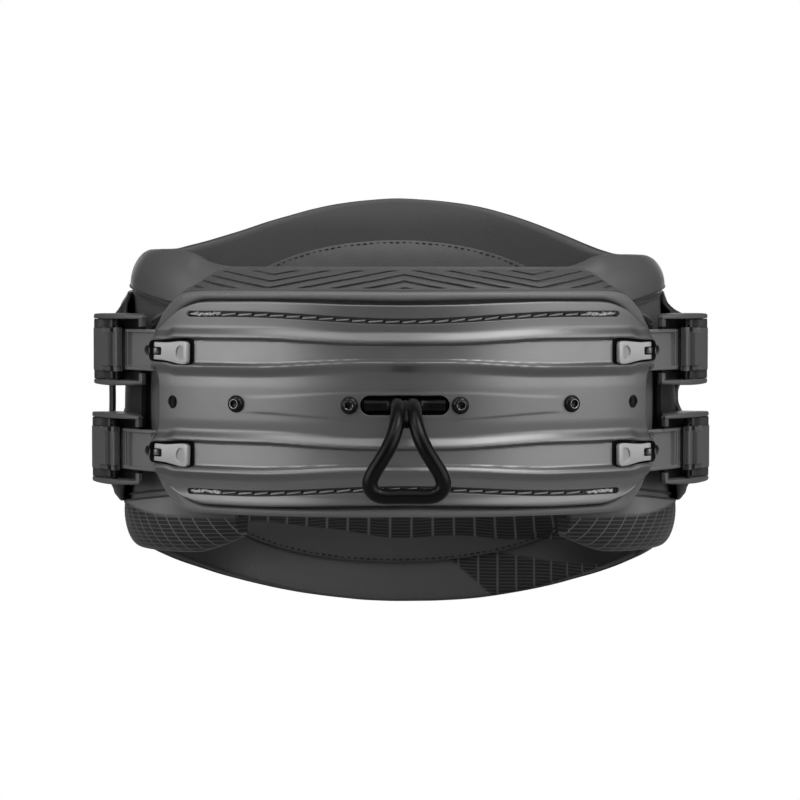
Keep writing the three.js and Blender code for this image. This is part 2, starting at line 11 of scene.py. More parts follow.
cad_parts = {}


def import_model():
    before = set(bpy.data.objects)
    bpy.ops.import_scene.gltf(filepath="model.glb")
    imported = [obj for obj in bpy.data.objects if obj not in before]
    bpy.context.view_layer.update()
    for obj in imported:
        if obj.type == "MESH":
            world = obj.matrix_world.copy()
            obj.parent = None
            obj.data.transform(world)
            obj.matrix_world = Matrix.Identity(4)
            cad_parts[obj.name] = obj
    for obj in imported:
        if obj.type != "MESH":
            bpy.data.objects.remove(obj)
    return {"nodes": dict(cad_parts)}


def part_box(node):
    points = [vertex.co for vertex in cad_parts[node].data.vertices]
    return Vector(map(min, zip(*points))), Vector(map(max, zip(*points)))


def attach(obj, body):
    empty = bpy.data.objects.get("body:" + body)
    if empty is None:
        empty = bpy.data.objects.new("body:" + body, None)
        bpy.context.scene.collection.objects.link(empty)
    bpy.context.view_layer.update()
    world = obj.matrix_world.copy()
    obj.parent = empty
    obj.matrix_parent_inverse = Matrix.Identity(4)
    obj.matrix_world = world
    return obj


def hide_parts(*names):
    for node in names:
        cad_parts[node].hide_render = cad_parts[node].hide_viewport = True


cad_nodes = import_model()["nodes"]
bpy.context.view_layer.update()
scene = bpy.context.scene

# ---------------------------------------------------------------- shared dimensions
# The bar bends round an upright axis at (0, ARC_Y). Angles on it are degrees from the front
# middle, positive to the right.
ARC_Y = 55.0
BAR_RADIUS = 205.0  # middle of the sheet
SHEET = 2.5  # sheet thickness
ROW_Z = 31.0  # height of the upper row of fittings; the lower row is its mirror
LATCH_PIN_ANGLE, LATCH_PIN_RADIUS = 46.0, 209.1
LATCH_ANGLE = 42.6  # where a latch lies tangent to the bar
LEVER_PIN_ANGLE, LEVER_PIN_RADIUS = 58.3, 208.4
LOWER_TURN = 1.1  # the lower buckles sit this many degrees further back
SCREW_ANGLES = {"inner": 9.1, "outer": 29.0}
OPEN_HOLE_ANGLE = 42.7
RIVET_ANGLE = 67.3

# The belt is an oval. Angles on it are degrees from the right: 90 is the back's middle.
BELT_HALF_WIDTH, BELT_HALF_DEPTH, BELT_Y = 158.0, 110.0, 5.0
BELT_FLARE, BELT_SPREAD = 0.011, 0.012  # narrowing with height, widening towards both edges

SIDES = (("right", False), ("left", True))
ROWS = (("upper", ROW_Z), ("lower", -ROW_Z))


def smooth(low, high, x):
    """Smooth step from 0 at low to 1 at high."""
    k = np.clip((x - low) / (high - low), 0, 1)
    return k * k * (3 - 2 * k)


def share(x, length):
    """x as a share of the length, held between 0 and 1."""
    return np.clip(x / length, 0, 1)


def round_off(depth, k):
    """How far a quarter-round edge has drawn back at share k of its run."""
    return depth * (1 - np.sqrt(np.maximum(0, 1 - k**2)))


def on_bar(angle, radius, z):
    angle, radius, z = np.broadcast_arrays(np.radians(angle), radius, z)
    return np.stack([radius * np.sin(angle), ARC_Y - radius * np.cos(angle), z], -1)


def on_belt(angle, out, z):
    """Place on the belt, 'out' from its inner oval; each side leans in near its top."""
    angle, out, z = np.broadcast_arrays(np.radians(angle), out, z)
    lean = np.where(np.cos(angle) > 0, 0.027 * smooth(44, 68, z), 0.008 * smooth(56, 74, z))
    widen = 1 - BELT_FLARE * z / 90 + BELT_SPREAD * smooth(42, 78, np.abs(z)) - lean
    x = (BELT_HALF_WIDTH + out) * np.cos(angle) * widen
    bulge = 4 * (z / 130) ** 2 * np.maximum(0, np.sin(angle))
    y = BELT_Y + (BELT_HALF_DEPTH + out) * np.sin(angle) + bulge
    return np.stack([x, y, z], -1)


def curve(rows, level_start=False):
    """Monotone cubic through (x, y) rows, held at its end values outside them."""
    xs, ys = np.array(rows, float).T
    step = np.diff(xs)
    rise = np.diff(ys) / step
    slope = np.zeros(len(xs))
    slope[0] = 0.0 if level_start else rise[0]
    slope[-1] = rise[-1]
    for i in range(1, len(xs) - 1):
        if rise[i - 1] * rise[i] > 0:
            before = 2 * step[i] + step[i - 1]
            after = step[i] + 2 * step[i - 1]
            slope[i] = (before + after) / (before / rise[i - 1] + after / rise[i])

    def value(x):
        x = np.clip(np.asarray(x, float), xs[0], xs[-1])
        i = np.clip(np.searchsorted(xs, x) - 1, 0, len(step) - 1)
        k = (x - xs[i]) / step[i]
        return (
            ys[i] * (1 + 2 * k) * (1 - k) ** 2
            + step[i] * slope[i] * k * (1 - k) ** 2
            + ys[i + 1] * k * k * (3 - 2 * k)
            + step[i] * slope[i + 1] * k * k * (k - 1)
        )

    return value


# The bar's frame is laid on the CAD by the middle of one latch pin.
_low, _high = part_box("latch_pin_right_upper")
_pin = np.array([(a + b) * 500.0 for a, b in zip(_low, _high)])
OFFSET = _pin - on_bar(LATCH_PIN_ANGLE, LATCH_PIN_RADIUS, ROW_Z)

# Belt edges: (degrees from the back's middle, height). Each side has its own.
BELT_TOP_RIGHT = curve([
    (0, 131.2), (7, 130.2), (14, 128.1), (20, 125.2), (26, 120.9), (32, 115.8), (38, 110.1),
    (44, 104.4), (50, 98.9), (56, 94.5), (62, 92.0), (68, 91.5), (74, 91.2), (80, 90.8),
    (88, 90.6), (116, 90.4), (126, 90), (130.4, 88.7), (134.3, 85.6), (138.3, 82.9), (144, 80),
], True)
BELT_TOP_LEFT = curve([
    (0, 131.2), (7, 129.9), (14, 127.3), (20, 123.7), (26, 119.1), (32, 114.4), (38, 109.2),
    (44, 104.8), (50, 100.9), (56, 97.9), (62, 95.6), (68, 95.1), (74, 94.9), (80, 94.3),
    (88, 94.2), (116, 93.4), (122, 92.4), (126, 90.6), (128, 89.2), (131, 86.0), (134.3, 84.0),
    (138.7, 82.4), (144, 81),
], True)
# (degrees from the back's middle, right height, left height)
BELT_BOTTOM = [
    (0, -147.9, -147.9), (7, -147.7, -147.1), (14, -146.6, -144.9), (20, -144.8, -142.4),
    (26, -141.7, -138.9), (32, -138, -134.7), (38, -133.7, -130.1), (44, -128.8, -125.3),
    (50, -124.1, -120.1), (56, -119, -115.2), (62, -114, -110.5), (68, -109.6, -106.2),
    (74, -105.6, -102.4), (80, -101.9, -100), (88, -98.8, -98.4), (100, -97, -97),
    (116, -96, -96), (130, -94.5, -94.5), (137, -90, -90), (144, -83, -83),
]
BELT_BOTTOM_RIGHT = curve([(a, right) for a, right, _ in BELT_BOTTOM], True)
BELT_BOTTOM_LEFT = curve([(a, left) for a, _, left in BELT_BOTTOM], True)


def belt_edges(angle):
    """Top and bottom height of the belt."""
    away = abs(angle - 90)
    if angle < 90:
        return BELT_TOP_RIGHT(away), BELT_BOTTOM_RIGHT(away)
    return BELT_TOP_LEFT(away), BELT_BOTTOM_LEFT(away)


def slot_mid(x):
    """Height of the middle of the bar's long upper slot."""
    return 49.4 + 4.2 * np.sin(np.pi / 2 * np.minimum(1, np.abs(x) / 104)) ** 2


# ---------------------------------------------------------------- shader values
BUMP_DEPTH = 0.0004  # metres


class Signal:
    """A number in a shader; arithmetic on it adds Math nodes."""

    def __init__(self, tree, socket):
        self.tree = tree
        self.socket = socket

    def calc(self, operation, *values):
        node = self.tree.nodes.new("ShaderNodeMath")
        node.operation = operation
        for slot, value in zip(node.inputs, values):
            if isinstance(value, Signal):
                self.tree.links.new(value.socket, slot)
            else:
                slot.default_value = value
        return Signal(self.tree, node.outputs[0])

    def __add__(self, other):
        return self.calc("ADD", self, other)

    def __radd__(self, other):
        return self.calc("ADD", other, self)

    def __sub__(self, other):
        return self.calc("SUBTRACT", self, other)

    def __rsub__(self, other):
        return self.calc("SUBTRACT", other, self)

    def __mul__(self, other):
        return self.calc("MULTIPLY", self, other)

    def __abs__(self):
        return self.calc("ABSOLUTE", self)

    def sine(self):
        return self.calc("SINE", self)

    def maximum(self, other):
        return self.calc("MAXIMUM", self, other)

    def ramp(self, start, end):
        """Smooth step from 0 at start to 1 at end."""
        node = self.tree.nodes.new("ShaderNodeMapRange")
        node.interpolation_type = "SMOOTHSTEP"
        node.inputs["From Min"].default_value = start
        node.inputs["From Max"].default_value = end
        self.tree.links.new(self.socket, node.inputs["Value"])
        return Signal(self.tree, node.outputs["Result"])

    def lines(self, per, half, blur):
        """1 on evenly spaced lines, 'per' to a unit; half width and blur are shares of a pitch."""
        away = abs((self * per).calc_fract() - 0.5)
        return away.ramp(0.5 - half - blur, 0.5 - half)

    def calc_fract(self):
        return self.calc("FRACT", self)

    def blend(self, first, second):
        """Colour going from first to second as this value goes from 0 to 1."""
        node = self.tree.nodes.new("ShaderNodeMix")
        node.data_type = "RGBA"
        self.tree.links.new(self.socket, node.inputs["Factor"])
        for key, color in (("A", first), ("B", second)):
            if isinstance(color, tuple):
                node.inputs[key].default_value = (*color, 1)
            else:
                self.tree.links.new(color, node.inputs[key])
        return node.outputs["Result"]


# ---------------------------------------------------------------- patterns
# Each takes the belt map's x (belt angle / 10) and y (height in centimetres) and the plain
# colour, and returns the colour with its print and its painted light and shade.
BACK = 9.0  # map x of the back's middle
BAND_BASE, BAND_RISE = -10.15, 1.15  # lower edge of the ruled band and how far it climbs leftwards


def lining_print_and_light(x, y, cloth):
    """Dark panels of pale ruled lines on the lower part of the lining, with painted light low by the
    back and along the top edge and painted shade low at the sides.
    """
    bend = (x * 2.1).sine() * 0.05
    upright = x.lines(per=2.0, half=0.035, blur=0.05)
    level = (y + bend).lines(per=4.3, half=0.16, blur=0.10)
    ruled = upright.maximum(level * 0.42)
    edge = x.ramp(9.4, 13.2) * BAND_RISE + BAND_BASE
    band = (y - edge).ramp(-0.06, 0.08)
    right_part = (7.7 + (y + 11.9) * 0.43 - x).ramp(-0.02, 0.14)
    under = (-10.75 - (y + x.ramp(8.4, 4.2) * 0.9)).ramp(-0.1, 0.25)
    area = (band * y.ramp(-6.0, -7.2)).maximum(right_part * under)
    inside = ruled.blend((0.014, 0.014, 0.0145), (0.12, 0.12, 0.122))
    # Painted light: paler cloth low down by the back and along the top edge.
    low_painted_light = y.ramp(-9.8, -12.6) * abs(x - BACK).ramp(6.6, 3.6)
    cloth = low_painted_light.blend(cloth, (0.112, 0.112, 0.114))
    cloth = y.ramp(10.6, 12.6).blend(cloth, (0.078, 0.078, 0.079))
    # Painted shade low down at the sides.
    side_shade = abs(x - BACK).ramp(3.4, 5.6) * y.ramp(-4.5, -7.5)
    cloth = side_shade.blend(cloth, (0.016, 0.016, 0.0163))
    return area.blend(cloth, inside)


def lumbar_print_and_light(x, y, cloth):
    """A ruled band across the lower back pad; the cloth pales towards top and bottom as painted
    light.
    """
    bend = (x * 2.3).sine() * 0.10
    upright = x.lines(per=1.85, half=0.035, blur=0.05)
    level = (y + bend).lines(per=4.6, half=0.14, blur=0.10)
    ruled = upright.maximum(level * 0.30)
    edge = x.ramp(9.2, 12.4) * BAND_RISE + BAND_BASE
    band = (y + bend - edge).ramp(-0.06, 0.08) * y.ramp(-6.0, -7.2)
    inside = ruled.blend((0.008, 0.008, 0.0082), (0.12, 0.12, 0.122))
    # Painted light: paler cloth towards the bottom and the top.
    cloth = y.ramp(-9.5, -11.5).blend(cloth, (0.105, 0.105, 0.107))
    cloth = y.ramp(8.6, 10.2).blend(cloth, (0.112, 0.112, 0.1135))
    return band.blend(cloth, inside)


def corner_print_and_highlight(x, y, foam):
    """Foam dark round the back, a painted highlight on the foam above the lower front corners, and
    fine ruled lines across those corners.
    """
    away = abs(x - BACK)
    foam = away.ramp(6.8, 5.2).blend(foam, (0.045, 0.045, 0.046))
    # Painted highlight on the foam just below the piping.
    foam_highlight = away.ramp(9.4, 10.6) * away.ramp(13.4, 12.0) * y.ramp(-5.2, -5.9)
    foam = foam_highlight.blend(foam, (0.22, 0.22, 0.222))
    slanted = (away + y * 0.22).lines(per=2.3, half=0.026, blur=0.035)
    level = (y + away * -0.10).lines(per=4.0, half=0.08, blur=0.10)
    ruled = slanted.maximum(level * 0.5)
    area = (y + away.ramp(9.5, 12.5) * 0.55).ramp(-6.45, -6.8)
    near_front = away.ramp(7.4, 8.4)
    inside = (ruled * near_front).blend((0.005, 0.005, 0.0052), (0.15, 0.15, 0.152))
    return area.blend(foam, inside)


# ---------------------------------------------------------------- materials
def material(name, color, rough, vary, vary_scale, bumps, rough_vary=0.0, metal=0.0, sheen=0.0,
             specular=0.5, bevel=0.0, pattern=None):
    """A material in object space. Colour drifts by the share 'vary' and roughness by
    'rough_vary'; 'bevel' is a shaded edge radius in millimetres. Each bump layer is
    (scale per metre, strength[, kind[, stretch]])."""
    mat = bpy.data.materials.new(name)
    mat.use_nodes = True
    tree = mat.node_tree
    new, link = tree.nodes.new, tree.links.new
    shader = tree.nodes["Principled BSDF"]
    shader.inputs["Metallic"].default_value = metal
    shader.inputs["Roughness"].default_value = rough
    shader.inputs["Specular IOR Level"].default_value = specular
    if sheen:
        shader.inputs["Sheen Weight"].default_value = sheen
        shader.inputs["Sheen Roughness"].default_value = 0.5
    coords = new("ShaderNodeTexCoord")

    def texture(scale, kind="noise", stretch=(1, 1, 1), detail=4):
        mapping = new("ShaderNodeMapping")
        mapping.inputs["Scale"].default_value = stretch
        link(coords.outputs["Object"], mapping.inputs["Vector"])
        if kind == "noise":
            node = new("ShaderNodeTexNoise")
            node.inputs["Detail"].default_value = detail
        elif kind == "cells":
            node = new("ShaderNodeTexVoronoi")
        else:
            node = new("ShaderNodeTexWave")
            node.bands_direction = kind[-1]
            node.inputs["Distortion"].default_value = 0.6
        node.inputs["Scale"].default_value = scale
        link(mapping.outputs["Vector"], node.inputs["Vector"])
        return node.outputs["Distance" if kind == "cells" else "Fac"]

    mix = new("ShaderNodeMix")
    mix.data_type = "RGBA"
    mix.inputs["A"].default_value = tuple(c * (1 - vary) for c in color) + (1,)
    mix.inputs["B"].default_value = tuple(c * (1 + vary) for c in color) + (1,)
    link(texture(vary_scale), mix.inputs["Factor"])
    surface = mix.outputs["Result"]
    if pattern:
        uv = new("ShaderNodeUVMap")
        uv.uv_map = "belt"
        split = new("ShaderNodeSeparateXYZ")
        link(uv.outputs["UV"], split.inputs["Vector"])
        x, y = (Signal(tree, split.outputs[axis]) for axis in "XY")
        surface = pattern(x, y, surface)
    link(surface, shader.inputs["Base Color"])
    if rough_vary:
        span = new("ShaderNodeMapRange")
        span.inputs["To Min"].default_value = max(0.02, rough - rough_vary)
        span.inputs["To Max"].default_value = min(1.0, rough + rough_vary)
        link(texture(60, detail=5), span.inputs["Value"])
        link(span.outputs["Result"], shader.inputs["Roughness"])
    normal = None
    if bevel:
        node = new("ShaderNodeBevel")
        node.samples = 4
        node.inputs["Radius"].default_value = bevel / 1000.0
        normal = node.outputs["Normal"]
    for scale, strength, *kind in bumps:
        height = texture(scale, *kind)
        node = new("ShaderNodeBump")
        node.inputs["Strength"].default_value = strength
        node.inputs["Distance"].default_value = BUMP_DEPTH
        link(height, node.inputs["Height"])
        if normal is not None:
            link(normal, node.inputs["Normal"])
        normal = node.outputs["Normal"]
    link(normal, shader.inputs["Normal"])
    return mat


def grey(v):
    return (v, v, v * 1.015)


# Metals
bar_mat = material(
    "bar_anodised", grey(0.200), rough=0.38, rough_vary=0.05, metal=0.80, bevel=0.7,
    vary=0.06, vary_scale=22, bumps=[(900, 0.05), (240, 0.04, "noise", (0.08, 1, 2.5))])
# Brighter copy of the bar's metal for the channel floors: painted highlight.
channel_highlight_mat = material(
    "bar_channel_painted_highlight", grey(0.260), rough=0.36, rough_vary=0.06, metal=0.80,
    vary=0.07, vary_scale=26, bumps=[(900, 0.05), (260, 0.06, "noise", (0.06, 1, 2.5))])
latch_mat = material(
    "latch_metal", grey(0.50), rough=0.42, rough_vary=0.06, metal=0.45, bevel=0.35,
    vary=0.08, vary_scale=90, bumps=[(1500, 0.06)])
hook_mat = material(
    "hook_coating", (0.0026, 0.0026, 0.0028), rough=0.30, rough_vary=0.05, specular=0.2,
    vary=0.15, vary_scale=120, bumps=[(420, 0.10)])
knuckle_mat = material(
    "knuckle_steel", grey(0.22), rough=0.35, metal=0.7,
    vary=0.12, vary_scale=200, bumps=[(1500, 0.08)])
# Near-black sheet under each latch: painted shadow in its channel.
latch_shadow_mat = material(
    "latch_bed_rubber", grey(0.004), rough=0.85, specular=0.15,
    vary=0.2, vary_scale=90, bumps=[(2200, 0.3)])
steel_mat = material(
    "black_steel", (0.007, 0.007, 0.0075), rough=0.22, rough_vary=0.06, metal=0.25,
    specular=0.3, vary=0.2, vary_scale=200, bumps=[(1800, 0.05)])
bright_mat = material(
    "bright_steel", (0.25, 0.25, 0.26), rough=0.28, metal=1.0,
    vary=0.1, vary_scale=300, bumps=[(1800, 0.05)])
# Plastics and foams
strap_mat = material(
    "strap_plastic", grey(0.155), rough=0.46, rough_vary=0.07, bevel=0.3,
    vary=0.07, vary_scale=60, bumps=[(2600, 0.16), (260, 0.06)])
buckle_mat = material(
    "buckle_plastic", grey(0.098), rough=0.42, rough_vary=0.07, bevel=0.45,
    vary=0.1, vary_scale=50, bumps=[(2200, 0.14), (200, 0.06)])
pad_mat = material(
    "pad_foam", grey(0.062), rough=0.50, rough_vary=0.06, sheen=0.12,
    vary=0.12, vary_scale=35, bumps=[(2400, 0.30), (180, 0.10)])
# Lighter foam for the rim beads: partly a lighter rim material, partly painted light where the beads
# catch light from above.
rim_tone_and_light_mat = material(
    "pad_rim_foam_tone_and_light", grey(0.135), rough=0.46, rough_vary=0.05, sheen=0.1, specular=0.7,
    vary=0.10, vary_scale=45, bumps=[(2400, 0.24), (150, 0.08)])
# Near-black copy of the buckle plastic for the frames' insides: painted shade.
frame_shade_mat = material(
    "buckle_inner_painted_shade", grey(0.010), rough=0.55, specular=0.3,
    vary=0.2, vary_scale=70, bumps=[(2200, 0.2)])
# Darker copy of the buckle plastic for the lever's wings and low faces: painted shade.
shoulder_shade_mat = material(
    "buckle_shoulder_painted_shade", grey(0.036), rough=0.42, vary=0.12, vary_scale=70, bumps=[(2200, 0.14)])
# Plain belt foam, kept in the file beside the printed one; no piece wears it.
material(
    "belt_foam", grey(0.115), rough=0.52, rough_vary=0.05, sheen=0.10,
    vary=0.10, vary_scale=28, bumps=[(3000, 0.20), (90, 0.12)])
piping_mat = material(
    "piping_tape", grey(0.05), rough=0.6, sheen=0.1,
    vary=0.15, vary_scale=150, bumps=[(3000, 0.3)])
shell_mat = material(
    "shell_plastic", grey(0.032), rough=0.40, rough_vary=0.06, bevel=0.6,
    vary=0.12, vary_scale=20, bumps=[(1600, 0.16), (60, 0.05)])
# Tape and threads
tape_mat = material(
    "seam_tape", grey(0.085), rough=0.85, sheen=0.2,
    vary=0.25, vary_scale=90, bumps=[(420, 0.6, "waveX"), (420, 0.5, "waveZ")])
pale_thread = material(
    "thread_pale", grey(0.78), rough=0.7, sheen=0.2,
    vary=0.35, vary_scale=420, bumps=[(2600, 0.6)])
dull_thread = material(
    "thread_dull", grey(0.52), rough=0.65, sheen=0.1,
    vary=0.3, vary_scale=420, bumps=[(2600, 0.6)])
# Dark thread for the lumbar seam; the same material paints the shade in the seam tape's needle
# holes.
dark_thread_and_hole_shade = material(
    "thread_dark_and_hole_shade", grey(0.012), rough=0.8, vary=0.3, vary_scale=420, bumps=[(2600, 0.6)])
stiff_mat = material(
    "stiffener_plastic", grey(0.03), rough=0.55, vary=0.1, vary_scale=40, bumps=[(1200, 0.2)])
# Patterned belt parts
lumbar_mat = material(
    "lumbar_neoprene", grey(0.072), rough=0.85, sheen=0.25, pattern=lumbar_print_and_light,
    vary=0.14, vary_scale=22, bumps=[(1100, 0.35, "cells", (1, 1, 0.6)), (60, 0.18)])
lining_mat = material(
    "lining_neoprene", grey(0.050), rough=0.8, sheen=0.15, pattern=lining_print_and_light,
    vary=0.16, vary_scale=18, bumps=[(1100, 0.30, "cells", (1, 1, 0.6)), (50, 0.15)])
belt_mat = material(
    "belt_foam_print_and_highlight", grey(0.088), rough=0.38, rough_vary=0.04, sheen=0.05, specular=0.55,
    pattern=corner_print_and_highlight, vary=0.10, vary_scale=28, bumps=[(3000, 0.20), (90, 0.12)])


# ---------------------------------------------------------------- solids: (points, faces)
def circle(count):
    return np.linspace(0, 2 * math.pi, count, endpoint=False)


def signed_volume(points, faces):
    total = 0.0
    for face in faces:
        first = points[face[0]]
        for i in range(1, len(face) - 1):
            total += np.dot(first, np.cross(points[face[i]], points[face[i + 1]]))
    return total / 6


def loft(rings):
    """Closed solid through rings of equal point count, each end closed by one face."""
    rings = np.asarray(rings, float)
    ring_count, size = rings.shape[:2]
    points = rings.reshape(-1, 3)
    start = np.arange(ring_count - 1)[:, None] * size
    here = np.arange(size)[None, :]
    after = (here + 1) % size
    quads = np.broadcast_arrays(
        start + here, start + size + here, start + size + after, start + after)
    faces = np.stack(quads, -1).reshape(-1, 4).tolist()
    faces.append(list(range(size)))
    faces.append([(ring_count - 1) * size + j for j in range(size)][::-1])
    if signed_volume(points, faces) < 0:
        faces = [face[::-1] for face in faces]
    return points, faces


def join(*solids):
    points, faces, count = [], [], 0
    for solid_points, solid_faces in solids:
        points.append(solid_points)
        faces += [[i + count for i in face] for face in solid_faces]
        count += len(solid_points)
    return np.concatenate(points), faces


def prism(outline, y0, y1):
    """Solid of a closed (x, z) outline between two depths."""
    x, z = np.asarray(outline, float).T
    return loft([np.stack([x, np.full(len(x), y), z], -1) for y in (y0, y1)])


def bar_section(angle, outline, flip=1):
    """Ring at one angle of the bar from (radius, z) rows."""
    radius, z = np.array(outline, float).T
    return on_bar(angle, radius, flip * z)


def arc_prism(outline, z0, z1):
    """Solid of a closed (degrees, radius) outline between two heights."""
    angle, radius = np.asarray(outline, float).T
    return loft([on_bar(angle, radius, z) for z in (z0, z1)])


def upright(centre, stations, count):
    """Round solid on an upright axis from (z, radius) stations."""
    a = circle(count)
    x, y = centre[:2]
    return loft([
        np.stack([x + r * np.cos(a), y + r * np.sin(a), np.full(count, float(z))], -1)
        for z, r in stations
    ])


def rounded_corners(half_u, half_v, radius, steps):
    """(u, v) points round a rectangle; the halves reach to the corners' centres."""
    points = []
    for su, sv, start in ((1, 1, 0), (-1, 1, 90), (-1, -1, 180), (1, -1, 270)):
        for a in np.radians(np.linspace(start, start + 90, steps)):
            points.append((half_u * su + radius * math.cos(a), half_v * sv + radius * math.sin(a)))
    return points


def tangent_frame(angle, points):
    """Places (u along the arc, n from the arc's centre, z) in the tangent frame at an angle."""
    a = math.radians(angle)
    points = np.asarray(points, float)
    u, n, z = points[..., 0], points[..., 1], points[..., 2]
    x = u * math.cos(a) + n * math.sin(a)
    return np.stack([x, ARC_Y + u * math.sin(a) - n * math.cos(a), z], -1)


def lathe(angle, base, profile, z=0, count=32):
    """Solid turned about a radial line of the bar, from the radius 'base' outwards.
    Profile rows are (radius, height[, hexagon share])."""
    rings = []
    a = circle(count)
    hexagon = 1 / np.cos((a + math.pi / 6) % (math.pi / 3) - math.pi / 6) * 0.955
    for radius, height, *rest in profile:
        hex_share = rest[0] if rest else 0.0
        r = radius * ((1 - hex_share) + hex_share * hexagon)
        ring = np.stack([r * np.cos(a), np.full(count, base + height), z + r * np.sin(a)], -1)
        rings.append(tangent_frame(angle, ring))
    return loft(rings)


def sweep(path, radius, count):
    """Round bar along a path; the radius may change from point to point."""
    path = np.asarray(path, float)
    tangent = np.gradient(path, axis=0)
    tangent /= np.linalg.norm(tangent, axis=1)[:, None]
    up = np.array([0.0, 0.0, 1.0] if abs(tangent[0][2]) < 0.9 else [0.0, 1.0, 0.0])
    normal = np.cross(tangent[0], up)
    normal /= np.linalg.norm(normal)
    radii = np.broadcast_to(np.asarray(radius, float), (len(path),))
    a = circle(count)
    rings = []
    for place, along, r in zip(path, tangent, radii):
        normal = normal - along * np.dot(normal, along)
        normal /= np.linalg.norm(normal)
        side = np.cross(along, normal)
        rings.append(place + r * (np.cos(a)[:, None] * normal + np.sin(a)[:, None] * side))
    return loft(rings)


def capsule(start, end, radius, count):
    """Short thread that thins at both ends."""
    start, end = np.asarray(start, float), np.asarray(end, float)
    path = [start + (end - start) * k for k in (0, 0.12, 0.3, 0.5, 0.7, 0.88, 1)]
    return sweep(path, np.array([0.35, 0.8, 1, 1.05, 1, 0.8, 0.35]) * radius, count)


def spline(points, count):
    """Centripetal Catmull-Rom path through the points, resampled evenly."""
    points = np.asarray(points, float)
    padded = np.vstack([2 * points[0] - points[1], points, 2 * points[-1] - points[-2]])
    dense = []
    for i in range(1, len(padded) - 2):
        p = padded[i - 1:i + 3]
        gaps = np.linalg.norm(np.diff(p, axis=0), axis=1) ** 0.5 + 1e-9
        knot = np.concatenate([[0], np.cumsum(gaps)])
        for t in np.linspace(knot[1], knot[2], 24, endpoint=False):

            def between(a, b, i, j):
                span = knot[j] - knot[i]
                return (knot[j] - t) / span * a + (t - knot[i]) / span * b

            a1, a2, a3 = (between(p[k], p[k + 1], k, k + 1) for k in range(3))
            dense.append(between(between(a1, a2, 0, 2), between(a2, a3, 1, 3), 1, 2))
    dense.append(points[-1])
    dense = np.asarray(dense)
    run = path_length(dense)
    return path_at(dense, run, np.linspace(0, run[-1], count))


def path_length(path):
    """Distance along a path at each of its points."""
    return np.concatenate([[0], np.cumsum(np.linalg.norm(np.diff(path, axis=0), axis=1))])


def path_at(path, run, distance):
    return np.stack([np.interp(distance, run, path[:, k]) for k in range(3)], -1)


def mirrored(solid):
    points, faces = solid
    return points * (-1, 1, 1), [face[::-1] for face in faces]


def turned(points, degrees):
    """Points turned about the bar's axis."""
    c, s = math.cos(math.radians(degrees)), math.sin(math.radians(degrees))
    x, y, z = points[:, 0], points[:, 1] - ARC_Y, points[:, 2]
    return np.stack([c * x - s * y, s * x + c * y + ARC_Y, z], -1)


# ---------------------------------------------------------------- objects
def put(points):
    return (np.asarray(points, float).reshape(-1, 3) + OFFSET) / 1000.0


def mesh_object(name, solid, mats=()):
    mesh = bpy.data.meshes.new(name)
    mesh.from_pydata(put(solid[0]).tolist(), [], [tuple(int(i) for i in f) for f in solid[1]])
    mesh.validate()
    for mat in mats:
        mesh.materials.append(mat)
    o = bpy.data.objects.new(name, mesh)
    scene.collection.objects.link(o)
    return o


def add(name, solid, mats, slot, replaces=None, body="harness", sharp=35.0, face_mats=None,
        finish=None):
    o = mesh_object(name, solid, mats)
    if face_mats is not None:
        o.data.polygons.foreach_set("material_index", np.asarray(face_mats, np.int32))
    if finish:
        finish(o)
    o.data.shade_smooth()
    o.data.set_sharp_from_angle(angle=math.radians(sharp))
    o.data.update()
    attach(o, body)
    if replaces:
        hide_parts(replaces)


def four(base, solid, mats, slot, node=None, body=None, lower_turn=0.0, **options):
    """Four copies of a solid drawn for the right side at height 0, at each side and row."""
    for side, flip in SIDES:
        for row, z in ROWS:
            points = turned(solid[0], lower_turn if row == "lower" else 0.0) + (0, 0, z)
            copy = (points, solid[1])
            place = f"{side}_{row}"
            add(f"{base}_{place}", mirrored(copy) if flip else copy, mats, slot,
                replaces=node and node.format(place),
                body=body.format(place) if body else "harness", **options)


def apply_modifiers(o):
    bpy.context.view_layer.update()
    graph = bpy.context.evaluated_depsgraph_get()
    mesh = bpy.data.meshes.new_from_object(
        o.evaluated_get(graph), preserve_all_data_layers=True, depsgraph=graph)
    o.modifiers.clear()
    old = o.data
    o.data = mesh
    mesh.name = o.name
    if old.users == 0:
        bpy.data.meshes.remove(old)


def boolean(o, tool, operation="DIFFERENCE"):
    cutter = mesh_object("tmp", tool)
    modifier = o.modifiers.new("cut", "BOOLEAN")
    modifier.operation = operation
    modifier.object = cutter
    modifier.solver = "MANIFOLD"
    apply_modifiers(o)
    mesh = cutter.data
    bpy.data.objects.remove(cutter)
    bpy.data.meshes.remove(mesh)


def combine(base, tools, operation="DIFFERENCE"):
    """The base solid with each tool in turn cut from it or joined to it."""
    o = mesh_object("tmp", base)
    for tool in tools:
        boolean(o, tool, operation)
    points = np.array([v.co for v in o.data.vertices]) * 1000.0 - OFFSET
    faces = [list(p.vertices) for p in o.data.polygons]
    bpy.data.objects.remove(o)
    return points, faces


def bevel(o, width, angle=32):
    modifier = o.modifiers.new("bevel", "BEVEL")
    modifier.width = width / 1000.0
    modifier.segments = 2
    modifier.limit_method = "ANGLE"
    modifier.angle_limit = math.radians(angle)
    apply_modifiers(o)


def wear(o, *mats):
    o.data.materials.clear()
    for mat in mats:
        o.data.materials.append(mat)


def two_tone(o, mats, rule):
    """Faces picked by rule(angle from the middle, radius, height off the row) take mats[1]."""
    wear(o, *mats)
    centres = np.zeros(3 * len(o.data.polygons))
    o.data.polygons.foreach_get("center", centres)
    x, y, z = (centres.reshape(-1, 3) * 1000.0 - OFFSET).T
    angle = np.abs(np.degrees(np.arctan2(x, ARC_Y - y)))
    chosen = rule(angle, np.hypot(x, y - ARC_Y), np.abs(np.abs(z) - ROW_Z))
    o.data.polygons.foreach_set("material_index", chosen.astype(np.int32))


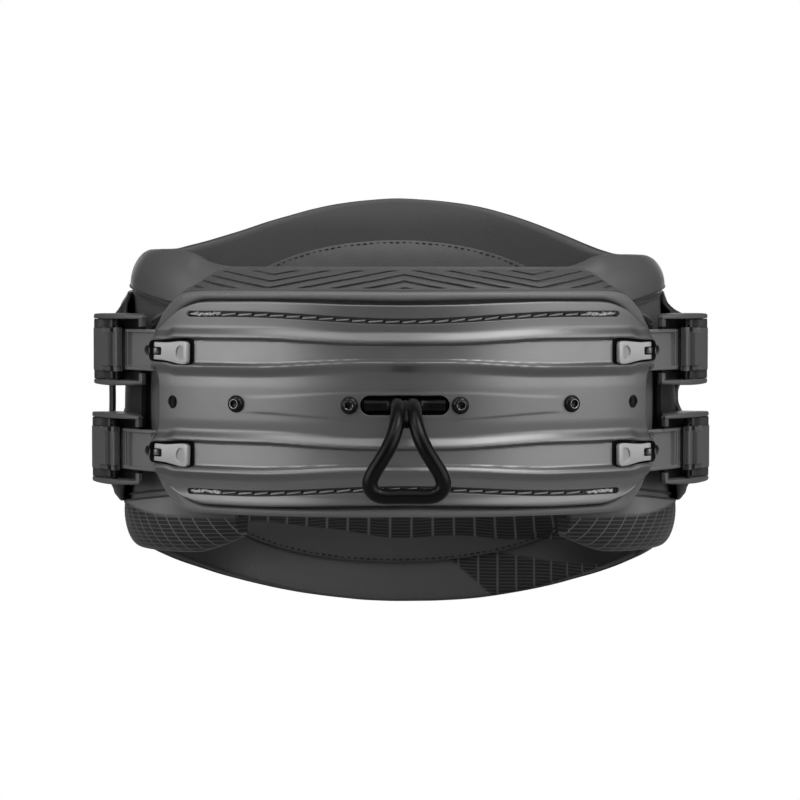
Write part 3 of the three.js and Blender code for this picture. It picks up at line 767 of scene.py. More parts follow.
# ---------------------------------------------------------------- spreader bar
# Half height of the plate by the distance from the middle.
PLATE_HALF = curve([
    (0, 59), (30, 59.4), (60, 60.5), (90, 61.3), (116, 61.2), (122, 60.8), (126.5, 59.8),
    (130, 58.5), (134, 56.9), (140, 53.0), (143.3, 50.2), (147, 46.9), (150.4, 43.9),
    (153.4, 41.0), (154.6, 39.6),
])
# Cut-outs in the plate's ends, as (x, z) of the right upper quarter.
END_NOTCH = [(148.9, 0), (148.9, 9), (149.15, 13), (149.9, 16.4), (151.1, 19), (152.8, 21.2),
             (155, 22.8), (162, 24)]
ABOVE_LATCH = [(151.6, 47), (151.5, 42.6), (151.7, 40.9), (152.6, 39.5), (153.8, 38.0),
               (154.9, 35.6), (155.6, 31), (164, 31), (164, 47)]
BELOW_LATCH = [(164, 31), (155.6, 31), (154.9, 26.6), (153.7, 23.6), (152.2, 21.6),
               (150.6, 20.0), (164, 18)]
SLOT_REACH, SLOT_HALF = 129.2, 1.75  # the two long slots
HOOK_SLOT_REACH, HOOK_SLOT_RADIUS = 20.5, 5.9
SHADOW_SHEET_HALF = curve([  # (along the arc, half height) of the painted shadow sheet under a latch
    (-17.7, 6.2), (-17.6, 6.8), (-17.3, 7.3), (-16.8, 7.7), (-14, 8.1), (-6, 7.8), (2, 7.1),
    (8, 6.7), (12, 6.4), (14.6, 6.5), (17.2, 6.2), (18.8, 5.2), (19.4, 4.0),
])


def side_distance(angle):
    return np.abs(BAR_RADIUS * np.sin(np.radians(angle)))


def channel_half(angle):
    return 5.2 + 2.8 * smooth(6, 26, np.abs(angle))


def emboss(angle, z):
    """How far the sheet stands out: two channels with raised lips and a low middle band."""
    arc = np.abs(angle) * math.pi / 180 * BAR_RADIUS
    height = np.abs(z)
    half = channel_half(angle) - 1.5 * smooth(149, 158, arc)
    off = np.hypot(height - ROW_Z, np.maximum(0, arc - 165.0))
    rise = smooth(half - 1.5, half + 0.75, off)
    fall = 1 - smooth(half + 0.7, half + 7.6, off)
    middle = 0.8 * (1 - smooth(9, ROW_Z - half - 4.5, height))
    upper = (0.2 + 0.5 * smooth(44, 58, height)) * smooth(
        ROW_Z + half + 1, ROW_Z + half + 6, height)
    lower = 1.5 * smooth(ROW_Z + half + 0.5, ROW_Z + half + 3, -z) * (
        1 - smooth(41, 54, -z)) + 0.7 * smooth(54.5, 59, -z)
    out = 3.0 * rise * fall + 0.3 * (1 - rise) + middle + np.where(z < 0, lower, upper)
    # Low raised field round the hook slot, narrowing outwards.
    x = side_distance(angle)
    top = 7.3 - 2.9 * smooth(30, 92, x)
    bottom = -8.2 + 3.2 * smooth(30, 92, x)
    field = (1 - smooth(top - 0.8, top + 0.8, z)) * smooth(bottom - 0.45, bottom + 0.45, z)
    return out + 0.32 * field * (1 - smooth(80, 98, x))


def bar_solid():
    edge = 0.8  # height of the rounded upper and lower edges
    angles = np.concatenate([
        np.linspace(-48.75, -44, 38), np.linspace(-44, 44, 213)[1:-1], np.linspace(44, 48.75, 38)])
    tip = np.radians([35, 62, 90, 118, 145])
    rings = []
    for angle in angles:
        straight = PLATE_HALF(side_distance(angle)) - edge
        z = np.linspace(-1, 1, 210) * straight
        radius = BAR_RADIUS + emboss(angle, z)
        half = SHEET / 2 - 0.7 * share(abs(angle) - 48.35, 0.4) ** 2
        # Both edges follow the relief of the upper one.
        edge_radius = BAR_RADIUS + emboss(angle, straight)
        rings.append(np.concatenate([
            on_bar(angle, radius + half, z),
            on_bar(angle, edge_radius + half * np.cos(tip), straight + edge * np.sin(tip)),
            on_bar(angle, radius[::-1] - half, z[::-1]),
            on_bar(angle, edge_radius + half * np.cos(tip[::-1]),
                   -straight - edge * np.sin(tip[::-1])),
        ]))
        rings[-1] = rings[-1]
    return loft(rings)


def slot_outline(sign):
    x = np.linspace(-SLOT_REACH, SLOT_REACH, 61)
    z = sign * slot_mid(x)
    cap = np.linspace(math.pi / 2, -math.pi / 2, 9)[1:-1]
    w = SLOT_HALF
    outline = list(zip(x, z + w))
    outline += [(x[-1] + w * math.cos(a), z[-1] + w * math.sin(a)) for a in cap]
    outline += list(zip(x[::-1], z[::-1] - w))
    outline += [(x[0] - w * math.cos(a), z[0] - w * math.sin(a)) for a in cap]
    return outline


def bar_cuts():
    cuts = []
    for s in (-1, 1):
        notch = [(s * x, z) for x, z in END_NOTCH] + [(s * x, -z) for x, z in END_NOTCH[:0:-1]]
        cuts.append(prism(notch, -110, -20))
        # The plate's end stands out round each latch and draws back above and below it.
        for sz in (-1, 1):
            for outline in (ABOVE_LATCH, BELOW_LATCH):
                cuts.append(prism([(s * x, sz * z) for x, z in outline], -110, -20))
        cuts.append(prism(slot_outline(s), -175, -20))
        holes = [(angle, 3.6) for angle in SCREW_ANGLES.values()] + [(OPEN_HOLE_ANGLE, 3.9)]
        for angle, radius in holes:
            cuts.append(lathe(s * angle, BAR_RADIUS - 5, [(radius, 0), (radius, 12)]))
    half_turn = np.linspace(-math.pi / 2, math.pi / 2, 13)
    reach, r = HOOK_SLOT_REACH, HOOK_SLOT_RADIUS
    outline = [(reach + r * math.cos(a), r * math.sin(a)) for a in half_turn]
    outline += [(-x, -z) for x, z in outline]
    cuts.append(prism(outline, -175, -120))
    return join(*cuts)


def build_bar():
    def finish(o):
        boolean(o, bar_cuts())
        # The channel floors take a brighter copy of the bar's metal: a painted highlight for the
        # soft box reflection on them.
        two_tone(o, (bar_mat, channel_highlight_mat), lambda angle, radius, off: (
            (off < channel_half(angle) - 1.3) & (angle < 44) & (radius > BAR_RADIUS)))

    add("bar_sheet", bar_solid(), [bar_mat], "bar", "spreader_bar", sharp=40, finish=finish)


def build_knuckles():
    """Knuckles that carry the latch pins."""
    profile = [(-2.1, 205.6), (2.1, 205.6), (2.15, 208.6)]
    arch = np.linspace(0.1, math.pi - 0.1, 9)
    profile += [(2.15 * math.cos(a), 209.0 + 2.0 * math.sin(a)) for a in arch]
    profile += [(-2.15, 208.6)]
    points, faces = loft([
        tangent_frame(LATCH_PIN_ANGLE, [(u, n, z) for u, n in profile]) for z in (-1.8, 1.8)])
    right = [(points + (0, 0, z), faces) for _, z in ROWS]
    add("latch_knuckles", join(*right, *map(mirrored, right)), [knuckle_mat], "bar", sharp=42,
        finish=lambda o: bevel(o, 0.35))


def build_latch_shadow_sheets():
    """Dark thin sheet lying in the channel under each latch: painted shadow of the latch."""
    stations = np.concatenate([
        [-17.7, -17.6, -17.3, -16.8], np.linspace(-16, 12, 29),
        [13.2, 14.6, 16.0, 17.2, 18.1, 18.8, 19.2, 19.4]])
    rings = []
    for u in stations:
        angle = LATCH_ANGLE + math.degrees(u / 208.5)
        half = SHADOW_SHEET_HALF(u)
        z = ROW_Z + np.linspace(-half, half, 33)
        radius = BAR_RADIUS + emboss(angle, z) + SHEET / 2
        rings.append(np.concatenate([
            on_bar(angle, radius + 0.16, z), on_bar(angle, radius[::-1] - 0.1, z[::-1])]))
    points, faces = loft(rings)
    four("latch_bed", (points - (0, 0, ROW_Z), faces), [latch_shadow_mat], "bar", sharp=50)


# ---------------------------------------------------------------- latches
LATCH_HALF_THICK = 1.6
LATCH_TILT = 2.2  # degrees; the thumb ends sit a touch low in the channels
LATCH_HALF = curve([  # (along the lever from the thumb end, half height)
    (-15.7, 4.6), (-15.55, 5.3), (-15.1, 6.0), (-14.2, 6.6), (-12.6, 6.95), (-9.5, 6.9),
    (-4.5, 6.35), (0, 5.85), (4, 5.5), (8, 5.35), (14.4, 5.3),
])
LATCH_SLOT = [(20, 2.5), (7.6, 2.5), (7.0, 2.25), (6.65, 1.6), (6.6, 0), (6.65, -1.6),
              (7.0, -2.25), (7.6, -2.5), (20, -2.5)]
DISH_U, DISH_RADIUS, DISH_DEPTH, DISH_TILT = -10.0, 4.15, 0.42, math.radians(9)


def build_latches():
    swing = math.radians(LATCH_PIN_ANGLE - LATCH_ANGLE)
    pin_u, pin_n = LATCH_PIN_RADIUS * math.sin(swing), LATCH_PIN_RADIUS * math.cos(swing)
    pin = on_bar(LATCH_PIN_ANGLE, LATCH_PIN_RADIUS, 0)

    def at_latch(u, n, z):
        return tangent_frame(LATCH_ANGLE, np.stack(np.broadcast_arrays(u, n, z), -1))

    rings = []
    for u in np.concatenate([np.linspace(-15.7, -13.4, 9), np.linspace(-12.6, 11.6, 26),
                             pin_u + np.array([0.0, 0.6, 1.1, 1.45, 1.59])]):
        thick = LATCH_HALF_THICK
        if u > pin_u:
            thick = math.sqrt(max(0.02, LATCH_HALF_THICK**2 - (u - pin_u) ** 2))
        if u < -14.6:
            thick = LATCH_HALF_THICK - 0.5 * ((-14.6 - u) / 1.1) ** 2
        edge = min(0.55, thick * 0.8)
        z, n = np.array(rounded_corners(LATCH_HALF(u) - edge, thick - edge, edge, 5)).T
        rings.append(at_latch(u, pin_n + n, z))
    # Slot between the two ears, tilted round thumb dish, pin hole.
    u, z = np.array(LATCH_SLOT).T
    slot = loft([at_latch(u, pin_n + n, z) for n in (-4, 4)])
    a = circle(40)
    u, z = DISH_RADIUS * np.cos(a), DISH_RADIUS * np.sin(a)
    floor = pin_n + LATCH_HALF_THICK - DISH_DEPTH - u * math.sin(DISH_TILT)
    dish = loft([at_latch(DISH_U + u * math.cos(DISH_TILT), floor + h, z) for h in (0, 5)])
    hole = upright(pin, [(-9, 1.05), (9, 1.05)], 40)
    points, faces = combine(loft(rings), [slot, dish, hole])

    # Tilt about the pin in the lever's own plane.
    a = math.radians(LATCH_ANGLE)
    outward = np.array([math.sin(a), -math.cos(a), 0.0])
    along = np.array([math.cos(a), math.sin(a), 0.0])
    off = points - pin
    n, u, z = off @ outward, off @ along, off[:, 2]
    c, s = math.cos(math.radians(LATCH_TILT)), math.sin(math.radians(LATCH_TILT))
    points = pin + n[:, None] * outward + (u * c - z * s)[:, None] * along
    points[:, 2] = u * s + z * c
    four("latch", (points, faces), [latch_mat], "latch", "latch_lever_{}", "latch_{}", sharp=38)
    for side, _ in SIDES:
        for row, _ in ROWS:
            wear(cad_nodes[f"latch_pin_{side}_{row}"], steel_mat)


# ---------------------------------------------------------------- hook, screws, clamp
HOOK_ROD_RADIUS = 4.5
HOOK_HALF = [  # (x, y, z) along the right half of the rod, from behind the bar to the tip
    (24, -147, 0), (18, -147, 0), (12.4, -147, 0), (8.4, -147.9, 0), (5.6, -150.4, 0),
    (4.6, -154, 0), (4.5, -161, 0), (4.5, -170, 0), (4.5, -179, -0.2), (4.6, -188, -2.3),
    (5.2, -195.5, -7.2), (6.9, -200.4, -13.8), (10.0, -203, -21.3), (14.5, -204, -29),
    (18.8, -204.1, -36), (20.9, -203.6, -41.6), (20.0, -203.1, -46), (16.6, -202.8, -49),
    (12, -202.7, -49.9), (5, -202.6, -49.9),
]
HOOK_WEB = [  # (y, z, half height, half width)
    (-152, 0.2, 3.2, 3.0), (-165, 0.2, 3.4, 3.4), (-180, -0.4, 3.4, 3.4),
    (-190, -3.4, 3.2, 3.3), (-196.5, -8.6, 2.6, 3.0),
]
SCREW_PROFILE = [  # (radius, height[, hexagon share]) after the shank's inner end
    (3.0, -0.35), (5.25, -0.3), (5.25, 0.35), (5.1, 1.05), (4.6, 1.95), (3.95, 2.6),
    (3.2, 3.02), (2.85, 3.1), (2.5, 3.1), (2.32, 2.9, 0.6), (2.1, 2.5, 1.0), (2.05, 0.9, 1.0),
    (1.2, 0.55, 0.6),
]
SCREW_DEPTHS = {"inner": -18.4, "outer": -14.6}


def build_hook():
    path = spline(HOOK_HALF + [(-x, y, z) for x, y, z in HOOK_HALF[::-1]], 300)
    rod = sweep(path, HOOK_ROD_RADIUS, 28)
    add("hook_rod", rod, [hook_mat], "hook", "hook", sharp=60)
    # Web between the two legs in front of the slot.
    a = circle(20)
    web = loft([
        np.stack([w * np.cos(a), np.full(20, float(y)), z + h * np.sin(a)], -1)
        for y, z, h, w in HOOK_WEB
    ])
    add("hook_web", web, [hook_mat], "hook", sharp=60)


def build_screws():
    count = 48
    for s, side in ((1, "right"), (-1, "left")):
        for name, angle in SCREW_ANGLES.items():
            profile = [(3.0, SCREW_DEPTHS[name])] + SCREW_PROFILE
            screw = lathe(s * angle, BAR_RADIUS + SHEET / 2 + 1.1, profile, count=count)
            # Bright steel ring where the head meets the socket.
            bright_ring = np.isin(np.arange(len(screw[1])) // count, (8, 9))
            add(f"screw_{side}_{name}", screw, [steel_mat, bright_mat], "fastener",
                f"bolt_{side}_{name}", sharp=50, face_mats=bright_ring)
            wear(cad_nodes[f"nut_{side}_{name}"], steel_mat)
    wear(cad_nodes["hook_clamp"], steel_mat)
    wear(cad_nodes["pad_stiffener"], stiff_mat)


# ---------------------------------------------------------------- ladder straps
STRAP_HALF = 12.75
STRAP_BACK, STRAP_FACE = 200.4, 203.4  # radii
STRAP_RAIL = 1.1  # how far the side rails stand out
STRAP_EDGE = 0.7  # rounding of the edges
STRAP_RIBS = np.arange(56.75, 70.6, 0.96)  # angles
STRAP_HOLES = (50.6, 47.1, 43.6)


def build_straps():
    angles = np.unique(np.concatenate([
        np.linspace(37, 48, 23), np.linspace(48.2, 49, 7), np.linspace(49.4, 55.0, 14),
        np.arange(55.1, 72.001, 0.12)]))
    edge_z = STRAP_HALF - STRAP_EDGE
    z = np.concatenate([
        np.linspace(-edge_z, -10.9, 4), [-10.6, -10.3], np.linspace(-9.6, 9.6, 13),
        [10.3, 10.6], np.linspace(10.9, edge_z, 4)])
    front_turn, back_turn = np.radians([65, 35, 0]), np.radians([0, -35, -65])
    in_rail = smooth(10.3, 10.9, np.abs(z))
    rings = []
    for angle in angles:
        rail = STRAP_RAIL * smooth(48.3, 48.9, angle)
        dip = 1.6 * smooth(55.2, 55.45, angle)
        rib = max(1 - smooth(0.24, 0.36, abs(angle - centre)) for centre in STRAP_RIBS)
        floor = -dip + (0.95 + dip) * rib * (angle > 56.2)
        height = np.where(np.abs(z) > 10.6, rail, (1 - in_rail) * floor + in_rail * rail)
        end = 1.3 * share(angle - 71.4, 0.6) ** 2  # rounded outer end
        rail_radius = STRAP_FACE + rail - STRAP_EDGE - end
        side = np.concatenate([
            on_bar(angle, rail_radius + STRAP_EDGE * np.sin(front_turn),
                   edge_z + STRAP_EDGE * np.cos(front_turn)),
            on_bar(angle, STRAP_BACK + STRAP_EDGE + STRAP_EDGE * np.sin(back_turn),
                   edge_z + STRAP_EDGE * np.cos(back_turn)),
        ])
        rings.append(np.concatenate([
            on_bar(angle, STRAP_FACE + height - end, z), side,
            on_bar(angle, STRAP_BACK, np.linspace(edge_z, -edge_z, 5)),
            side[::-1] * (1, 1, -1)]))
    holes = join(*[lathe(a, 198, [(3.1, 0), (3.1, 8)], count=28) for a in STRAP_HOLES])
    four("web", combine(loft(rings), [holes]), [strap_mat], "strap", "ladder_strap_{}",
         "strap_{}", sharp=38)


# ---------------------------------------------------------------- buckles
LEVER_PIN = on_bar(LEVER_PIN_ANGLE, LEVER_PIN_RADIUS, 0)
LEVER_TOP = 213.4  # radius of the lever's raised middle field
LEVER_HALF = 13.7
# Outer radius of the frame's side plates by angle.
CHEEK_TOP = curve([(50.8, 207.2), (53.0, 209.2), (56, 211.4), (60, 212.9), (65.6, 212.6),
                   (67.6, 210.2), (69.4, 205.4)])
CHEEK_ANGLES = np.concatenate([
    [50.8, 50.86, 51.0, 51.3], np.linspace(51.8, 68.4, 26), [68.9, 69.2, 69.34, 69.4]])
LEVER_ANGLES = np.concatenate([
    [57.4, 57.43, 57.5, 57.65, 57.9, 58.3, 58.68, 58.74, 58.84, 58.9, 59.05, 59.2, 59.26,
     59.36, 59.44, 59.7, 60.2],
    np.linspace(60.6, 61.2, 3), [61.35, 61.5, 61.7], np.linspace(62.2, 65.2, 6),
    [65.6, 65.9, 66.15, 66.3, 66.38, 66.4]])
WING_ANGLES = np.concatenate([
    [60.2, 60.24, 60.35, 60.6], np.linspace(61, 65.5, 8), [65.9, 66.2, 66.45, 66.6, 66.68, 66.7]])
LEVER_EDGE_Z = np.array([10.25, 10.5, 10.75, 11.4, 12.4, 13.1, 13.5, 13.66, LEVER_HALF])


def cheek(s):
    """Side plate of a buckle frame, above (s = 1) or below its strap."""
    rings = []
    for angle in CHEEK_ANGLES:
        end = max(share(51.3 - angle, 0.5), share(angle - 68.9, 0.5))
        inset = round_off(1.0, end)
        top = CHEEK_TOP(angle) - inset
        outer = 22.5 - 1.3 * ((angle - 60.5) / 9.7) ** 2 - 2.0 * share(angle - 66.5, 2.9) ** 2
        outer -= inset
        inner = 19.1 + 0.3 * end
        bottom = 196.8 + 7.0 * (1 - smooth(51.2, 54.8, angle))
        small, large = 0.6, 1.15  # edge roundings
        ring = [(bottom, inner), (top - small, inner)]
        ring += [(top - small + small * math.sin(a), inner + small - small * math.cos(a))
                 for a in np.radians([30, 60, 90])]
        ring += [(top - large + large * math.cos(a), outer - large + large * math.sin(a))
                 for a in np.radians([0, 22, 45, 68, 90])]
        ring += [(bottom, outer)]
        rings.append(bar_section(angle, ring, s))
    return loft(rings)


def build_frames(pin_hole):
    angles = np.linspace(54.3, 69.4, 24)
    floor = [(a, 199.4) for a in angles] + [(a, 196.4) for a in angles[::-1]]
    parts = [arc_prism(floor, -21.0, 21.0)]
    stub = [(50.85, 207.0), (51.75, 207.2), (51.75, 204.2), (50.85, 204.1)]
    for s in (-1, 1):
        parts.append(cheek(s))
        parts.append(arc_prism(stub, *sorted((s * 14.4, s * 21.0))))
    parts.append(lathe(RIVET_ANGLE, 191.8, [(5, 0), (5, 6)], count=28))
    solid = combine(parts[0], parts[1:], "UNION")
    seat = [(2.8, 0), (2.8, 12.2), (4.8, 12.3), (4.8, 20)]
    solid = combine(solid, [pin_hole, lathe(RIVET_ANGLE, 186, seat, count=24)])

    def finish(o):
        bevel(o, 0.55, 50)
        # Faces low inside the frame, between its side plates, take the near-black copy: painted
        # shade.
        two_tone(o, (buckle_mat, frame_shade_mat), lambda angle, radius, off: (
            (off < 18.95) & (radius < 206.0) & (angle > 52.2)))

    four("frame", solid, [buckle_mat], "buckle", "buckle_frame_{}", lower_turn=LOWER_TURN,
         sharp=42, finish=finish)


def lever_block():
    """Rounded block with a raised middle field and a stepped nose."""
    z = np.concatenate([-LEVER_EDGE_Z[::-1], np.linspace(-9.6, 9.6, 9), LEVER_EDGE_Z])
    height = np.abs(z)
    edge = share(height - 12.7, 1.0)
    rings = []
    for angle in LEVER_ANGLES:
        near = share(57.75 - angle, 0.35)
        far = share(angle - 65.3, 1.1)
        first = smooth(58.70, 58.88, angle)
        step = 2.3 * (1 - first) + 5.0 * first * (1 - smooth(59.22, 59.42, angle))
        drop = 0.7 * near**2 + step + round_off(3.4, far)
        shelf = 1.8 * smooth(10.25, 10.75, height) * (1 - smooth(61.3, 61.75, angle))
        nose_cut = (LEVER_TOP - step - 207.4) * smooth(10.25, 10.6, height) * (
            1 - smooth(59.3, 59.5, angle))
        top = np.maximum(
            207.2, LEVER_TOP - drop - round_off(1.0, edge) - np.maximum(shelf, nose_cut))
        bottom = 205.75 + 1.0 * (1 - smooth(58.3, 59.3, angle)) + 0.9 * far**2 + 0.5 * edge**2
        rings.append(np.concatenate([
            on_bar(angle, top, z), on_bar(angle, bottom[::-1], z[::-1])]))
    return loft(rings)


def lever_wing(s):
    rings = []
    for angle in WING_ANGLES:
        far = share(angle - 65.6, 1.1)
        near = share(60.6 - angle, 0.4)
        top = 209.4 + 3.2 * smooth(62.2, 65.2, angle) - round_off(3.0, far) - 0.9 * near**2
        ring = [(206.2, 13.0), (top, 13.0), (top, 18.2)]
        ring += [(top - 0.6 + 0.6 * math.cos(a), 18.25 + 0.6 * math.sin(a))
                 for a in np.radians([30, 60, 90])]
        ring += [(206.6, 18.85)]
        rings.append(bar_section(angle, ring, s))
    return loft(rings)


def build_levers(pin_hole):
    barrel = upright(LEVER_PIN, [(-LEVER_HALF, 2.6), (LEVER_HALF, 2.6)], 24)
    solid = combine(lever_block(), [lever_wing(-1), lever_wing(1), barrel], "UNION")

    def finish(o):
        # The wings and the low faces past the nose take the darker copy: painted shade.
        two_tone(o, (buckle_mat, shoulder_shade_mat), lambda angle, radius, off: (
            (off > 12.95) | ((radius < 210.2) & (angle > 58.7))))

    four("lever", combine(solid, [pin_hole]), [buckle_mat], "buckle", "buckle_lever_{}",
         "buckle_lever_{}", lower_turn=LOWER_TURN, sharp=36, finish=finish)


def build_buckle_fasteners():
    pin = upright(LEVER_PIN, [(-22.4, 1.2), (-22.2, 1.5), (22.2, 1.5), (22.4, 1.2)], 24)
    turns = np.linspace(0, 3, 73)
    a = turns * 2 * np.pi
    coil = np.stack([LEVER_PIN[0] + 2.6 * np.cos(a), LEVER_PIN[1] + 2.6 * np.sin(a),
                     14.5 + turns / 3 * 3.7], -1)
    rivet = lathe(RIVET_ANGLE, 187.6, [
        (2.2, 0), (2.4, 0.3), (2.4, 10.8), (4.2, 10.85), (4.1, 11.3), (3.2, 11.7), (1.4, 11.9),
    ], count=28)
    for name, solid, node in (("lever_pin", pin, "buckle_pin_{}"),
                              ("lever_spring", sweep(coil, 0.42, 8), "buckle_spring_{}"),
                              ("rivet", rivet, "buckle_rivet_{}")):
        four(name, solid, [steel_mat], "fastener", node, lower_turn=LOWER_TURN)


def build_buckles():
    pin_hole = upright(LEVER_PIN, [(-30, 1.75), (30, 1.75)], 24)
    build_frames(pin_hole)
    build_levers(pin_hole)
    build_buckle_fasteners()


# ---------------------------------------------------------------- bar pad
# Rows are (degrees from the middle, half height or radius).
PAD_OUTER = curve([
    (0, 66.6), (20, 67.0), (37, 67.2), (40.5, 66.7), (42.8, 64.9), (44.8, 61.9), (46.4, 58.7),
    (48.4, 54.2), (50.2, 49.2), (51.6, 44.2), (52.6, 38), (53.2, 31), (53.5, 25)])
PAD_INNER = curve([
    (0, 61.2), (20, 62.2), (36, 62.2), (38.4, 61.0), (41, 58.0), (44, 52.8), (46.4, 48.2),
    (48.2, 45.4), (50.5, 39), (53.5, 20)])
PAD_RIM_RADIUS = curve([
    (0, 203.1), (41.0, 203.1), (42.8, 202.3), (44.6, 200.7), (46.5, 199.6), (48.2, 198.4),
    (50, 196.8), (53.5, 196.0)])
PAD_REAR_RADIUS = curve([
    (0, 168.3), (20, 168.3), (30.5, 169.2), (32.8, 184.4), (36, 187), (40, 188.6), (46, 190.2),
    (53.5, 190.6)])
FLANGE_TOP = curve([
    (0, 82), (29, 82.1), (33.5, 82.3), (37.3, 79.2), (40.2, 73.0), (41.8, 69.2), (43, 66.0),
    (44.6, 62.4), (60, 40)])
FLANGE_TOP_RADIUS = curve([
    (0, 186), (30, 186.3), (37.3, 190), (40.2, 193.6), (42.5, 197.5), (60, 196)])
GROOVE_PITCH = 3.9


def pad_ring(angle):
    a = abs(angle)
    outer, inner, rim, rear = PAD_OUTER(a), PAD_INNER(a), PAD_RIM_RADIUS(a), PAD_REAR_RADIUS(a)
    face = np.interp(a, [46.4, 48.2], [198, 195.6])
    # Close to the ends the front face rolls over towards the back.
    end = share(a - 51.4, 2.1)
    roll = round_off(4.2, end)

    # Rounded rim beads above and below the recessed tray.
    turn = np.radians(np.linspace(8, 172, 13))
    bead_z = (outer + inner) / 2 + max(0.6, (outer - inner) / 2) * np.cos(turn)
    bead_radius = rim - 2.6 + 2.6 * np.sin(turn) ** 0.7
    tray_z = np.linspace(-(inner - 0.4), inner - 0.4, 12)
    swell = 1.7 * smooth(49.4, 51.2, a) * (1 - end * end)
    tray_radius = face + swell * np.cos(tray_z / inner * math.pi / 2) ** 0.5

    # Top flange: crease, grooved face, rounded top edge. It dies away towards the ends.
    top = max(outer + 0.5, FLANGE_TOP(a))
    has = share(top - outer - 1.5, 3.0)
    foot_z, foot_radius = outer + 0.2, rim - 2.9
    s = np.linspace(0, 1, 46)
    flange_z = foot_z + (top - 1.2 - foot_z) * s
    flange = foot_radius + (FLANGE_TOP_RADIUS(a) - foot_radius) * s**1.25 * has
    flange = flange - 0.3 * (1 - has) * s + 1.5 * np.sin(np.pi * s) ** 0.8 * has
    # The grooves run in a zigzag, a triangle wave of the distance from the middle.
    x = abs(190 * math.sin(math.radians(a)))
    zigzag = x if x <= 77.5 else 155 - x
    phase = (flange_z - 80.6 + 0.2 * zigzag) / GROOVE_PITCH
    off = np.abs(phase - np.round(phase)) * GROOVE_PITCH
    margin = smooth(foot_z + 1.4, foot_z + 2.4, flange_z)
    margin = margin * (1 - smooth(top - 3.0, top - 2.1, flange_z))
    flange = flange - 1.7 * (1 - smooth(0.22, 0.80, off)) * margin * has
    half_thick = (3.2 * has + 0.4) / 2
    turn = np.radians(np.linspace(15, 165, 6))
    edge_z = top - 1.2 + 1.2 * np.sin(turn)
    edge = flange[-1] - half_thick + half_thick * np.cos(turn)

    # Rear: down the back of the flange and the body's rounded back to the bottom bead.
    back_z = np.linspace(top - 2.2, -(outer - 1.2), 22)
    back = rear + (rim - 3.0 - rear) * share(np.abs(back_z) - (outer - 14), 14) ** 3 * 0.8
    blend = rear + (edge[-1] - rear) * smooth(outer - 22, outer - 4, back_z)
    back = np.where(back_z > outer - 6, np.minimum(edge[-1], np.maximum(back, blend)), back)
    back = np.minimum(back, face - 3.0 if a < 48 else face - roll - 1.5)
    return np.concatenate([
        on_bar(angle, bead_radius - roll, -bead_z),
        on_bar(angle, tray_radius - roll, tray_z),
        on_bar(angle, bead_radius[::-1] - roll, bead_z[::-1]),
        on_bar(angle, flange - roll, flange_z),
        on_bar(angle, edge - roll, edge_z),
        on_bar(angle, back, back_z),
    ])


def build_pad():
    angles = np.concatenate([
        np.arange(-53.5, -46, 0.3), np.linspace(-46, 46, 185), np.arange(46.3, 53.51, 0.3)])
    rings = [pad_ring(angle) for angle in angles]
    solid = loft(rings)
    size = len(rings[0])
    column = np.arange(len(solid[1])) % size
    # The rim beads take the lighter foam, which is partly painted light.
    on_rim = (column <= 12) | ((column >= 25) & (column <= 38))
    on_rim[(len(angles) - 1) * size:] = False
    add("pad_foam", solid, [pad_mat, rim_tone_and_light_mat], "pad", "bar_pad", sharp=55, face_mats=on_rim)


# ---------------------------------------------------------------- stitched seams in the slots
TAPE_Z = (45.9, 57.4)
TAPE_BACK, TAPE_FACE = 200.9, 203.0  # radii
STITCH_RADIUS = 204.0


def ribbon(sign, x0, x1, rise0, rise1, half, top, slant):
    """Flat thread along a slot from x0 to x1, arched out to the radius 'top'."""
    rings = []
    a = np.radians(np.arange(0, 360, 45))
    for k in np.linspace(0, 1, 13):
        bow = math.sin(math.pi * k) ** 0.3 if 0 < k < 1 else 0.0
        w = half * (0.8 + 0.2 * bow)
        x = x0 + (x1 - x0) * k + slant * w * np.cos(a)
        radius = TAPE_FACE + (top - TAPE_FACE) * (0.15 + 0.85 * bow) + 0.42 * np.sin(a)
        z = sign * slot_mid(x) + rise0 + (rise1 - rise0) * k + w * np.cos(a)
        rings.append(on_bar(np.degrees(np.arcsin(x / STITCH_RADIUS)), radius, z))
    return loft(rings)


def tape(sign):
    z = np.linspace(*sorted((sign * TAPE_Z[0], sign * TAPE_Z[1])), 7)
    radius = TAPE_FACE - 0.25 * np.linspace(-1, 1, 7) ** 2
    return loft([
        np.concatenate([on_bar(angle, radius, z), on_bar(angle, TAPE_BACK, z[::-1])])
        for angle in np.linspace(-39.6, 39.6, 100)
    ])


